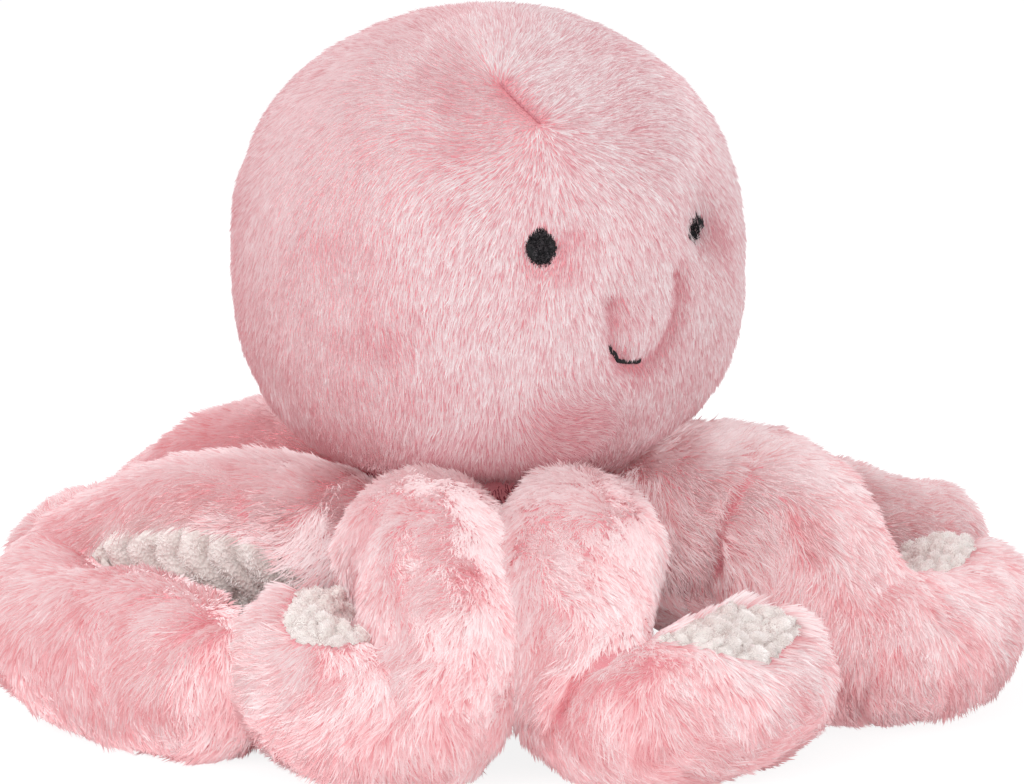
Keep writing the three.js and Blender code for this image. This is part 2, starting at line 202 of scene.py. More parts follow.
floor_mesh = bpy.data.meshes.new("floor")
corners = [(-1, -1, 0), (1, -1, 0), (1, 1, 0), (-1, 1, 0)]
spread = [tuple(part * floor_half_width for part in corner) for corner in corners]
floor_mesh.from_pydata(spread, [], [(0, 1, 2, 3)])
floor = bpy.data.objects.new("floor", floor_mesh)
bpy.context.scene.collection.objects.link(floor)
floor.location.z = cad_low.z - floor_drop
floor_mesh.materials.append(paper_material())

world = bpy.data.worlds.new("studio")
world.use_nodes = True
bpy.context.scene.world = world
backdrop = world.node_tree.nodes["Background"]
light_level = number(world.node_tree, "MULTIPLY", camera_sees(world.node_tree), 1 - world_strength)
world.node_tree.links.new(
    number(world.node_tree, "ADD", light_level, world_strength), backdrop.inputs["Strength"]
)
backdrop.inputs["Color"].default_value = white

view_front = Vector((view_back.x, view_back.y, 0)).normalized()
for name, (right, front, height, width, power) in lamps.items():
    area_lamp(name, view_right * right + view_front * front + Vector((0, 0, height)), width, power)
print("floor, world and lamps ready")

# %% [markdown]
# ## The plush, as colours
# Each pile fibre is dyed through, but the light that gets down between the fibres comes back redder,
# and the tips look almost white. That shade is painted into a fibre's colour, which follows one map:
# across it lies the fibre's tone, its own tone at random with painted shade and light added, and up
# it the way from root to tip, which darkens towards the root as painted shade.

# %% Pile and backing materials
PILE_MAP = "OFBake"


def colour_ramp(tree, where, stops):
    ramp = add_node(tree, "ShaderNodeValToRGB", {0: where})
    while len(ramp.color_ramp.elements) < len(stops):
        ramp.color_ramp.elements.new(0.5)
    for element, (place, colour) in zip(ramp.color_ramp.elements, stops):
        element.position = place
        element.color = (*colour, 1)
    return ramp.outputs["Color"]


def pile_material(name, pale_and_lit_stops, dark_and_shaded_stops):
    """A pile whose fibres go from a pale, lit ramp to a dark ramp in painted shade, by their tone."""
    material, tree, shader = new_material(name)
    place = add_node(tree, "ShaderNodeUVMap", uv_map=PILE_MAP).outputs[0]
    across, up, _ = add_node(tree, "ShaderNodeSeparateXYZ", {0: place}).outputs
    pale_and_lit = colour_ramp(tree, up, pale_and_lit_stops)
    deep = colour_ramp(tree, up, dark_and_shaded_stops)
    mix = add_node(tree, "ShaderNodeMix", {"Factor": across, 6: pale_and_lit, 7: deep}, data_type="RGBA")
    tree.links.new(mix.outputs[2], shader.inputs["Base Color"])
    shader.inputs["Roughness"].default_value = 0.9
    shader.inputs["Specular IOR Level"].default_value = 0.1
    return material


def pattern(tree, kind, size, **more):
    """A noise or a cell pattern of the given size, laid on the piece by its Object coordinates."""
    place = add_node(tree, "ShaderNodeTexCoord").outputs["Object"]
    return add_node(tree, "ShaderNodeTex" + kind, {"Vector": place, "Scale": 1 / size, **more}).outputs[0]


def surface(tree, shader, shown, stops, relief, strength, depth, roughness):
    """A pattern as colour, a pattern as bump of the given depth, and how rough it all is."""
    tree.links.new(colour_ramp(tree, shown, stops), shader.inputs["Base Color"])
    bump = add_node(tree, "ShaderNodeBump", {"Strength": strength, "Distance": depth, "Height": relief})
    tree.links.new(bump.outputs[0], shader.inputs["Normal"])
    shader.inputs["Roughness"].default_value = roughness


def backing_material(name, dark, light, patch, weave):
    """The knitted cloth under a pile: two shades in patches, and a fine knit as bump."""
    material, tree, shader = new_material(name)
    patches, knit = pattern(tree, "Noise", patch, Detail=4), pattern(tree, "Voronoi", weave)
    stops = [(0.35, dark), (0.65, light)]
    surface(tree, shader, patches, stops, knit, strength=0.5, depth=weave, roughness=1)
    shader.inputs["Sheen Weight"].default_value = 0.2
    return material


arm_pile = pile_material(
    "arm_pile",
    [(0.0, (0.7, 0.46, 0.47)), (0.35, (0.8, 0.65, 0.66)), (1.0, (0.89, 0.81, 0.82))],
    [(0.0, (0.62, 0.16, 0.18)), (0.4, (0.72, 0.29, 0.31)), (1.0, (0.82, 0.48, 0.5))],
)
head_pile = pile_material(
    "head_pile",
    [(0.0, (0.63, 0.48, 0.49)), (0.4, (0.73, 0.67, 0.68)), (1.0, (0.84, 0.82, 0.83))],
    [(0.0, (0.5, 0.15, 0.18)), (0.5, (0.58, 0.26, 0.29)), (1.0, (0.66, 0.4, 0.43))],
)
body_shadow = pile_material(
    "body_shadow",
    [(0.0, (0.3, 0.08, 0.1)), (1.0, (0.42, 0.16, 0.19))],
    [(0.0, (0.24, 0.04, 0.06)), (1.0, (0.36, 0.1, 0.13))],
)
belly_pile = pile_material(
    "belly_pile",
    [(0.0, (0.8, 0.74, 0.72)), (1.0, (0.96, 0.94, 0.93))],
    [(0.0, (0.4, 0.29, 0.28)), (1.0, (0.68, 0.56, 0.54))],
)
# The felt's second ramp ends in pale tips: painted glints on some of its fibres
black_pile = pile_material(
    "black_pile",
    [(0.0, (0.003, 0.003, 0.004)), (1.0, (0.008, 0.007, 0.009))],
    [(0.0, (0.006, 0.005, 0.007)), (0.6, (0.02, 0.018, 0.021)), (1.0, (0.2, 0.19, 0.2))],
)
pink_backing = backing_material("pink_backing", (0.66, 0.22, 0.25), (0.74, 0.3, 0.33), 14 * MM, 1.1 * MM)
cream_backing = backing_material("cream_backing", (0.7, 0.62, 0.59), (0.82, 0.76, 0.73), 9 * MM, 1.3 * MM)
print("pile materials:", arm_pile.name, head_pile.name, belly_pile.name)

# %% [markdown]
# ## Stuffed arms
# An arm is a bag filled until it is firm. Its CAD solids give the space, and Cloth gives the tension:
# the three solids of an arm are fused by a voxel remesh, shrunk a little, then blown up by pressure
# like a real stuffed tube, with the root held where it is sewn on. A cap keeps the bag in its space.

# %% Mesh helpers
def link_mesh(name, mesh):
    made = bpy.data.objects.new(name, mesh)
    bpy.context.scene.collection.objects.link(made)
    return made


def numbers_of(items, key, width=1, kind=float):
    """One number, or a row of them, for each of a mesh's vertices or edges."""
    values = np.zeros(len(items) * width, dtype=kind)
    items.foreach_get(key, values)
    return values if width == 1 else values.reshape(-1, width)


def places_of(mesh):
    return numbers_of(mesh.vertices, "co", 3)


def set_places(mesh, places):
    mesh.vertices.foreach_set("co", np.ascontiguousarray(places, dtype=np.float32).ravel())
    mesh.update()


def edges_of(mesh):
    return numbers_of(mesh.edges, "vertices", 2, np.int64)


def normals_of(mesh):
    return numbers_of(mesh.vertex_normals, "vector", 3)


def store(mesh, name, values):
    kind = "FLOAT" if values.ndim == 1 else "FLOAT_VECTOR"
    attribute = mesh.attributes.get(name) or mesh.attributes.new(name, kind, "POINT")
    attribute.data.foreach_set("value" if kind == "FLOAT" else "vector", values.astype(np.float32).ravel())


def stored(mesh, name):
    return numbers_of(mesh.attributes[name].data, "value")


def applied(thing):
    """The object's mesh as its modifiers leave it; the modifiers are gone afterwards."""
    graph = bpy.context.evaluated_depsgraph_get()
    mesh = bpy.data.meshes.new_from_object(
        thing.evaluated_get(graph), preserve_all_data_layers=True, depsgraph=graph
    )
    thing.modifiers.clear()
    old = thing.data
    thing.data = mesh
    bpy.data.meshes.remove(old)
    return mesh


def finer(thing):
    """The object's mesh with each face split in four and rounded off."""
    split = thing.modifiers.new("Finer", "SUBSURF")
    split.levels = split.render_levels = 1
    return applied(thing)


def thinned(thing, share):
    """Leaves a skin the given share of its faces, once its modifiers are applied."""
    fewer = thing.modifiers.new("Fewer", "DECIMATE")
    fewer.ratio = share


def covered(mesh, material):
    mesh.materials.clear()
    mesh.materials.append(material)


def mesh_from(shape, name, *materials):
    """A bmesh kept as a smooth mesh of its own."""
    mesh = bpy.data.meshes.new(name)
    shape.to_mesh(mesh)
    shape.free()
    for material in materials:
        mesh.materials.append(material)
    mesh.shade_smooth()
    return mesh


def neighbour_mean(values, ends, count):
    """Each vertex's mean over itself and its neighbours."""
    total = values.copy()
    weight = np.ones(count)
    for near, far in (ends.T, ends.T[::-1]):
        np.add.at(total, near, values[far])
        np.add.at(weight, near, 1)
    return total / (weight if values.ndim == 1 else weight[:, None])


def evened(mesh, rounds):
    """The mesh's places after some rounds of averaging, which are set on it too."""
    places, ends = places_of(mesh), edges_of(mesh)
    for _ in range(rounds):
        places = neighbour_mean(places, ends, len(places))
    set_places(mesh, places)
    return places


# %% Fuse an arm's solids into one bag
bag_voxel = 3.2 * MM
bag_smoothings = 3


def fused(name, parts, voxel):
    """One closed skin around the given CAD solids, keeping only its largest island."""
    shape = bmesh.new()
    for part in parts:
        shape.from_mesh(solids[part].data)
    bmesh.ops.remove_doubles(shape, verts=shape.verts, dist=0.01 * MM)
    bag = link_mesh(name, mesh_from(shape, name))
    remesh = bag.modifiers.new("Voxels", "REMESH")
    remesh.mode = "VOXEL"
    remesh.voxel_size = voxel
    remesh.adaptivity = 0
    keep_largest_island(applied(bag))
    return bag


def keep_largest_island(mesh):
    shape = bmesh.new()
    shape.from_mesh(mesh)
    shape.verts.ensure_lookup_table()
    island = [-1] * len(shape.verts)
    sizes = []
    for start in shape.verts:
        if island[start.index] >= 0:
            continue
        reached, island[start.index] = [start], len(sizes)
        for vertex in reached:
            for edge in vertex.link_edges:
                other = edge.other_vert(vertex)
                if island[other.index] < 0:
                    island[other.index] = len(sizes)
                    reached.append(other)
        sizes.append(len(reached))
    kept = sizes.index(max(sizes))
    bmesh.ops.delete(shape, geom=[v for v in shape.verts if island[v.index] != kept], context="VERTS")
    bmesh.ops.recalc_face_normals(shape, faces=shape.faces)
    shape.to_mesh(mesh)
    shape.free()
    mesh.shade_smooth()


arm_parts = ("cover", "belly", "stuffing")
bags = {arm: fused(arm + "_bag", [f"{arm}_{part}" for part in arm_parts], bag_voxel) for arm in arms}
for bag in bags.values():
    evened(bag.data, bag_smoothings)
print("bags:", {arm: len(bag.data.vertices) for arm, bag in bags.items()})


# %% Blow the bags up as cloth
stuffing_frames = 20
cloth_settings = {
    "vertex_group_mass": "sewn", "use_pressure": True, "uniform_pressure_force": 4, "quality": 4,
    "mass": 0.15, "tension_stiffness": 8, "compression_stiffness": 8, "bending_stiffness": 0.4,
    "shrink_min": -0.05,
}
swell_cap = 3.2 * MM
sink_cap = 0.8 * MM
root_radius = 46 * MM


def stuff(bags):
    """Cloth pressure on every bag at once, each held at its root, with its moves capped."""
    scene = bpy.context.scene
    starts = {}
    for arm, bag in bags.items():
        starts[arm] = places_of(bag.data)
        sewn = np.hypot(starts[arm][:, 0], starts[arm][:, 1]) < root_radius
        bag.vertex_groups.new(name="sewn").add([int(i) for i in np.flatnonzero(sewn)], 1, "REPLACE")
        cloth = bag.modifiers.new("Stuffing", "CLOTH")
        for setting, value in cloth_settings.items():
            setattr(cloth.settings, setting, value)
        cloth.settings.effector_weights.gravity = 0
        cloth.collision_settings.use_collision = False
        cloth.collision_settings.use_self_collision = False
    for step in range(1, stuffing_frames + 1):
        scene.frame_set(step)
    for arm, bag in bags.items():
        blown = places_of(applied(bag))
        normals = normals_of(bag.data)
        move = blown - starts[arm]
        along = np.sum(move * normals, axis=1)
        kept = np.clip(along, -sink_cap, swell_cap)
        set_places(bag.data, blown + normals * (kept - along)[:, None])
        bag.vertex_groups.clear()
        print(arm, "moved by up to", round(float(np.abs(along).max()) / MM, 1), "mm")
    scene.frame_set(1)


rest_places = {arm: places_of(bag.data) for arm, bag in bags.items()}
stuff(bags)


# %% [markdown]
# ## Which way the pile lies
# Pile on a sewn tube is combed from the root towards the tip. The way to the tip follows from how far
# each point is from the root along the skin, which a shortest-path walk over the mesh gives: the
# steepest way up that distance is the way of the comb. Long pile is also heavy enough to hang a
# little, so the comb is drawn down the skin by gravity.

# %% Reach, comb and belly share on each bag
comb_smoothings = 30
root_height = 52 * MM
hanging_share = 0.45
seam_blur = 1.6 * MM


def reach_from(mesh, places, starts):
    """How far each vertex is from the starting ones along the mesh's edges."""
    ends = edges_of(mesh)
    lengths = np.linalg.norm(places[ends[:, 0]] - places[ends[:, 1]], axis=1)
    around = [[] for _ in places]
    for (near, far), length in zip(ends.tolist(), lengths.tolist()):
        around[near].append((far, length))
        around[far].append((near, length))
    reach = np.full(len(places), math.inf)
    queue = [(0.0, int(start)) for start in starts]
    reach[starts] = 0
    heapq.heapify(queue)
    while queue:
        so_far, vertex = heapq.heappop(queue)
        if so_far > reach[vertex]:
            continue
        for other, length in around[vertex]:
            if so_far + length < reach[other]:
                reach[other] = so_far + length
                heapq.heappush(queue, (so_far + length, other))
    return reach


def along_skin(ways, normals):
    """The part of each way that lies in the skin."""
    return ways - normals * np.sum(ways * normals, axis=1)[:, None]


def unit(ways, least=1e-6):
    """Each way at length 1, but for those that are shorter than the least."""
    return ways / np.maximum(np.linalg.norm(ways, axis=1), least)[:, None]


def hung(comb, normals, share):
    """The comb drawn down by gravity along the skin: fully where the share is 1."""
    hanging = np.array((0, 0, -1)) + normals * normals[:, 2:]
    return comb * (1 - share) + hanging * share


def comb_up(mesh, rising):
    """The way along the skin in which a value rises fastest, evened out over the neighbours."""
    places, normals, ends = places_of(mesh), normals_of(mesh), edges_of(mesh)
    for _ in range(comb_smoothings):
        rising = neighbour_mean(rising, ends, len(rising))
    way = np.zeros_like(places)
    step = places[ends[:, 1]] - places[ends[:, 0]]
    gain = (rising[ends[:, 1]] - rising[ends[:, 0]]) / np.maximum(np.sum(step * step, axis=1), 1e-12)
    for end in (0, 1):
        np.add.at(way, ends[:, end], step * gain[:, None])
    for _ in range(comb_smoothings):
        way = along_skin(neighbour_mean(way, ends, len(way)), normals)
    return unit(way, 1e-9)


def smooth_step(values, low, high):
    share = np.clip((values - low) / (high - low), 0, 1)
    return share * share * (3 - 2 * share)


def away_from_line(places, line):
    """The way to each place from the nearest of a line's close points."""
    points = np.array([tuple(point) for point in line])
    nearest = np.argmin(np.linalg.norm(places[:, None, :] - points[None, :, :], axis=2), axis=1)
    return places - points[nearest]


def distance_to_line(places, line):
    return np.linalg.norm(away_from_line(places, line), axis=1)


def hollow(distance, radius, depth):
    return depth * np.exp(-((distance / radius) ** 2))


def lumps(places, size, seed):
    """A smooth value between -1 and 1 at each place, from noise of the given size."""
    shift = Vector((seed, 0, 0))
    return np.array([noise.noise(Vector(place) / size + shift) for place in places])


def tree_of(mesh):
    return BVHTree.FromPolygons([v.co for v in mesh.vertices], [p.vertices[:] for p in mesh.polygons])


def distances_to(solid, places):
    tree = tree_of(solids[solid].data)
    return np.array([tree.find_nearest(Vector(place))[3] for place in places])


for arm, bag in bags.items():
    mesh, rest = bag.data, rest_places[arm]
    roots = np.flatnonzero((np.hypot(rest[:, 0], rest[:, 1]) < root_radius) & (rest[:, 2] > root_height))
    store(mesh, "reach", reach_from(mesh, rest, roots))
    belly = (distances_to(arm + "_cover", rest) - distances_to(arm + "_belly", rest)) / seam_blur
    store(mesh, "belly", neighbour_mean(belly, edges_of(mesh), len(belly)))
    mesh = finer(bag)
    reach = stored(mesh, "reach")
    store(mesh, "comb", hung(comb_up(mesh, reach), normals_of(mesh), hanging_share))
    print(arm, "is", round(float(reach.max()) / MM), "mm long,", len(mesh.polygons), "faces")

# %% [markdown]
# ## Gathers, creases and rosy patches
# A gathered belly pulls its arm into lobes, hand stuffing leaves lumps, and every bend folds the
# plush into a crease with a line of roots in it, darkened by painted shade. The creases that the
# photograph shows are laid on the arms by the camera's own rays, so each of them sits on the arm that
# carries it. The rosy patches are painted shade where the pile stands up.

# %% Shape the arms' skins
lobe_pitch = 21 * MM
lobe_depth = 1.8 * MM
lobe_fade = 6
lobe_roundness = 0.8
lobe_valley = 0.6
lump_size = 17 * MM
lump_depth = 1.4 * MM
roll_size = 34 * MM
roll_depth = 3.2 * MM
root_sags = {"arm_2": 14 * MM}
parting_radius = 5 * MM
parting_share = 0.45
# Painted shade under the arms and towards their feet, and painted light on their tops
under_shade = 0.3
painted_top_light = 0.42
foot_shade = 0.36
plain_shade = 0.2
foot_shade_reach = (20 * MM, 110 * MM)
plump = 2.5 * MM
plump_reach = 35 * MM
root_plump_share = 0.5
press_height = 12 * MM
foot_plump = 2.5 * MM
foot_lift = 4 * MM
lift_height = 40 * MM
sag_start = (0, 25 * MM)
sag_end = (60 * MM, 95 * MM)
root_pile_share = 0.6
full_pile_reach = 40 * MM
tip_shares = (0.55, 0.95)
tip_moves = {"arm_8": (12, -8), "arm_1": (-10, -6), "arm_7": (4, 0), "arm_2": (-3, 0)}
crease_line = 1.0 * MM
foot_shares = (0.5, 0.72)
contact_distance = 14 * MM
contact_shade = 0.45
contact_falloff = 1.5
crease_radius = 3.4 * MM
rosy_radius = 2 * MM
crease_shade = 0.5
rosy_shade = 0.3
rosy_stand = 0.9
bare_share = 0.6
crease_depth = 4.5 * MM
trail_steps = 6
# How deep each crease is, and its course in the photograph's columns and rows
crease_trails = [
    (0.8, [(372, 627), (400, 620), (430, 622), (455, 629), (480, 637), (517, 640)]),
    (0.5, [(381, 650), (380, 680), (382, 708)]),
    (1.0, [(567, 711), (574, 689), (592, 667), (613, 652), (640, 644)]),
    (0.6, [(655, 733), (668, 742), (682, 752), (690, 765)]),
    (1.0, [(744, 458), (738, 474), (724, 504), (713, 526), (711, 548)]),
    (0.6, [(868, 660), (862, 680), (859, 700), (860, 720)]),
    (0.7, [(243, 478), (250, 492), (258, 510)]),
    (0.6, [(165, 657), (182, 650), (202, 641)]),
    (0.5, [(190, 699), (198, 710), (208, 723)]),
]
# The column and row of each patch that stands up and gets rosy painted shade, and its size in mm
rosy_spots = [
    (640, 696, 9), (659, 672, 6), (812, 528, 8), (747, 466, 5), (140, 630, 7), (96, 612, 9), (949, 648, 6),
    (420, 512, 9), (465, 580, 7), (590, 560, 9), (432, 700, 8), (200, 500, 8),
]


def hits_along(trail, trees):
    """Where the camera's rays along a trail of the photograph's points meet the arm they meet first."""
    steps = [share / trail_steps for share in range(trail_steps)]
    places = [
        (a[0] + (b[0] - a[0]) * share, a[1] + (b[1] - a[1]) * share)
        for a, b in zip(trail, trail[1:] or trail) for share in steps
    ]
    first = {}
    for arm, tree in trees.items():
        spot, _, _, away = tree.ray_cast(camera.location, ray_through(*places[0]))
        if spot is not None:
            first[away] = arm
    if not first:
        return None, []
    arm = first[min(first)]
    hits = [trees[arm].ray_cast(camera.location, ray_through(*place))[0] for place in places]
    return arm, [hit for hit in hits if hit is not None]


def parted(mesh, comb, line, share):
    """The comb turned away from a line on both sides of it, as fur parts over a crease."""
    away = away_from_line(places_of(mesh), line)
    aside = hollow(np.linalg.norm(away, axis=1), parting_radius, parting_share * share)[:, None]
    away = unit(along_skin(away, normals_of(mesh)))
    return unit(comb * (1 - aside) + away * aside)


def shade_near(places, trees):
    """How much each place is shaded by what lies close to it: 1 where they touch, 0 a little way off."""
    shade = np.zeros(len(places))
    for tree in trees:
        for index, place in enumerate(places):
            away = tree.find_nearest(Vector(place), contact_distance)[3]
            if away is not None:
                shade[index] = max(shade[index], 1 - away / contact_distance)
    return shade


arm_trees = {arm: tree_of(bag.data) for arm, bag in bags.items()}
head_solid_tree = tree_of(solids["head_cover"].data)
shades, stands, sinks, parts = (
    {arm: np.zeros(len(bag.data.vertices)) for arm, bag in bags.items()} for _ in range(4)
)
combs = {arm: numbers_of(bag.data.attributes["comb"].data, "vector", 3) for arm, bag in bags.items()}
# Each crease sinks the skin, gets a line of painted shade, thins its pile along the line and parts the comb
for share, trail in crease_trails:
    arm, line = hits_along(trail, arm_trees)
    print("crease at", trail[0], "on", arm)
    if arm is None:
        continue
    near = distance_to_line(places_of(bags[arm].data), line)
    sinks[arm] += hollow(near, crease_radius, crease_depth * share)
    shades[arm] += hollow(near, rosy_radius, crease_shade * share)
    parts[arm] = np.maximum(parts[arm], hollow(near, crease_line, share))
    combs[arm] = parted(bags[arm].data, combs[arm], line, share)
# Each rosy spot stands its pile up and gives it painted shade
for column, row, size in rosy_spots:
    arm, line = hits_along([(column, row)], arm_trees)
    if arm is None:
        continue
    near = distance_to_line(places_of(bags[arm].data), line)
    shades[arm] += hollow(near, size * MM, rosy_shade)
    stands[arm] += hollow(near, size * MM, rosy_stand)

for index, (arm, bag) in enumerate(bags.items()):
    mesh = bag.data
    places, reach, belly = places_of(mesh), stored(mesh, "reach"), stored(mesh, "belly")
    foot = smooth_step(reach / reach.max(), *foot_shares)
    off_floor = np.clip(places[:, 2] / press_height, 0, 1)
    others = [tree for other, tree in arm_trees.items() if other != arm] + [head_solid_tree]
    contact = shade_near(places, others)
    gathers = np.abs(np.sin(math.pi * reach / lobe_pitch)) ** lobe_roundness - lobe_valley
    swell = lobe_depth * gathers * np.clip(np.exp(belly / lobe_fade), 0, 1)
    rolls = roll_depth * lumps(places, roll_size, index + 20)
    swell += lump_depth * lumps(places, lump_size, index) + rolls
    filled = root_plump_share + (1 - root_plump_share) * smooth_step(reach, 0, plump_reach)
    swell += (plump * filled + foot_plump * foot) * off_floor
    normals = normals_of(mesh)
    below = np.clip(-normals[:, 2], 0, 1)
    places += normals * (swell - sinks[arm])[:, None]
    hanging = smooth_step(reach, *sag_start) * (1 - smooth_step(reach, *sag_end))
    places[:, 2] -= root_sags.get(arm, 0) * below * hanging
    places[:, 2] += foot_lift * foot * np.clip(places[:, 2] / lift_height, 0, 1)
    sideways, upwards = tip_moves.get(arm, (0, 0))
    tip = smooth_step(reach / reach.max(), *tip_shares) * MM
    places += np.outer(tip * sideways, view_right)
    places[:, 2] += tip * upwards * np.clip(places[:, 2] / lift_height, 0, 1)
    places[:, 2] = np.maximum(places[:, 2], cad_low.z)
    set_places(mesh, places)
    # The pile's painted light and shade: darker towards the feet, lighter on faces that look up, darker in
    # creases and rosy spots, close to other arms and the head, and on the undersides
    shade = plain_shade + foot_shade * smooth_step(reach, *foot_shade_reach)
    shade -= painted_top_light * np.clip(normals[:, 2], 0, 1)
    shade += shades[arm]
    shade += contact_shade * contact**contact_falloff
    shade += under_shade * below
    covering = 1 - bare_share * parts[arm]
    store(mesh, "pile_shade", shade)
    store(mesh, "comb", combs[arm])
    store(mesh, "pile_stand", stands[arm])
    store(mesh, "pile_density", covering)
    store(mesh, "pile_length", np.clip(root_pile_share + reach / full_pile_reach, 0, 1) * covering)

skin_trees = [tree_of(bag.data) for bag in bags.values()]
longest = max(float(stored(bag.data, "reach").max()) for bag in bags.values())
print("arms shaped; the longest reaches", round(longest / MM), "mm")

# %% [markdown]
# ## Growing the pile
# One Geometry Nodes tree grows every pile of the toy. A fibre is a thin bent blade of one face, so
# that there can be as many as possible. Three things make it read as plush and not as a brush:
# the comb wanders over the skin, patches of it stand up and show their darker roots, and the tips of
# near fibres close up into fine locks. Where the toy sits, the floor presses the pile flat. Real
# pile lets light through, so here it casts no shadow and bounces no light; the skins under it do.
# The pile's own shade is painted into its colour instead: darker in standing patches, creases, hollows and
# near its roots.

# %% The pile tree
PILE_INPUTS = {
    "Density": 4.0e6,
    "Length": 9 * MM,
    "Width": 0.375 * MM,
    "Root lean": math.radians(46),
    "Tip lean": math.radians(82),
    "Lean change": math.radians(13),
    "Patch size": 13 * MM,
    "Jitter": 0.3,
    "Curl": 0.4,
    "Lock spacing": 2.6 * MM,
    "Lock turn": 0.25,
    "Lock pull": 0.3,
    "Swirl size": 36 * MM,
    "Swirl": math.radians(60),
    "Patch shade": 0.55,
    "Shade contrast": 0.85,
    "Floor": cad_low.z - floor_drop / 2,
    "Seed": 1,
}
SHADE_WIDTH = 1 / 32
BLADE_MIDDLE = 0.5
BLADE_TAPER = 0.4
NOISE_STRETCH = 3.4
# The least and the most of what a lock or a fibre draws by chance
LOCK_LENGTHS = (0.85, 1.12)
FIBRE_LENGTHS = (0.7, 1.12)
EITHER_WAY = (-1.0, 1.0)
SHADE_DRAW = (-0.5, 0.5)
LOCK_SHADE = 0.3
LEAST_PATCH = -0.2
SHADE_ENDS = {"Min": 0.02, "Max": 0.94}
WAVE_SIZE = 0.33
WAVE_SHARE = 0.4
PULL_POWER = 1.7


def new_tree(name, inputs):
    tree = bpy.data.node_groups.new(name, "GeometryNodeTree")
    tree.interface.new_socket("Geometry", in_out="INPUT", socket_type="NodeSocketGeometry")
    for key, value in inputs.items():
        kind = "NodeSocketInt" if isinstance(value, int) else "NodeSocketFloat"
        tree.interface.new_socket(key, in_out="INPUT", socket_type=kind).default_value = value
    tree.interface.new_socket("Material", in_out="INPUT", socket_type="NodeSocketMaterial")
    tree.interface.new_socket("Geometry", in_out="OUTPUT", socket_type="NodeSocketGeometry")
    return tree, tree.nodes.new("NodeGroupInput").outputs, tree.nodes.new("NodeGroupOutput")


def named(tree, name, kind="FLOAT"):
    return add_node(tree, "GeometryNodeInputNamedAttribute", {"Name": name}, data_type=kind).outputs[0]


def keep(tree, geometry, name, value, kind="FLOAT", domain="POINT"):
    made = add_node(
        tree, "GeometryNodeStoreNamedAttribute", {"Geometry": geometry, "Name": name, "Value": value},
        data_type=kind, domain=domain,
    )
    return made.outputs[0]


def chance(tree, low, high, seed, ident=None):
    """A random number for each element, or for the element with the given number."""
    inputs = {2: low, 3: high, "Seed": seed}
    if ident is not None:
        inputs["ID"] = ident
    return add_node(tree, "FunctionNodeRandomValue", inputs, data_type="FLOAT").outputs[1]


def turned(tree, way, axis, angle):
    inputs = {"Vector": way, "Axis": axis, "Angle": angle}
    return add_node(tree, "ShaderNodeVectorRotate", inputs, rotation_type="AXIS_ANGLE").outputs[0]


def plus(tree, first, *others):
    for other in others:
        first = number(tree, "ADD", first, other)
    return first


def times(tree, first, *others):
    for other in others:
        first = number(tree, "MULTIPLY", first, other)
    return first


def mixed(tree, start, end, share):
    return plus(tree, start, times(tree, share, number(tree, "SUBTRACT", end, start)))


def wander(tree, place, size, detail):
    """A smooth value between about -1 and 1 that changes over the given size."""
    inputs = {"Vector": place, "Scale": number(tree, "DIVIDE", 1.0, size), "Detail": detail}
    waves = add_node(tree, "ShaderNodeTexNoise", inputs).outputs[0]
    wide = times(tree, number(tree, "SUBTRACT", waves, 0.5), NOISE_STRETCH)
    return add_node(tree, "ShaderNodeClamp", {"Value": wide, "Min": -1.0, "Max": 1.0}).outputs[0]


def blade(tree):
    """A unit blade of one face: two corners at its root, one half way up a side, and one at its tip."""
    inputs = {"Size X": 1.0, "Size Y": 1.0, "Vertices X": 2, "Vertices Y": 2}
    grid = add_node(tree, "GeometryNodeMeshGrid", inputs)
    spot = add_node(tree, "GeometryNodeInputPosition").outputs[0]
    across, up, _ = add_node(tree, "ShaderNodeSeparateXYZ", {0: spot}).outputs
    upper = number(tree, "GREATER_THAN", up, 0.0)
    along = times(tree, upper, mixed(tree, BLADE_MIDDLE, 1.0, plus(tree, across, 0.5)))
    upper_side = times(tree, number(tree, "SUBTRACT", across, 0.5), BLADE_TAPER)
    side = mixed(tree, across, upper_side, upper)
    with_side = keep(tree, grid.outputs[0], "pile_side", side)
    return keep(tree, with_side, "pile_along", along)


def paint(tree, geometry, given, result):
    """Gives what a tree made its material, and hands it out."""
    inputs = {"Geometry": geometry, "Material": given["Material"]}
    tree.links.new(add_node(tree, "GeometryNodeSetMaterial", inputs).outputs[0], result.inputs[0])


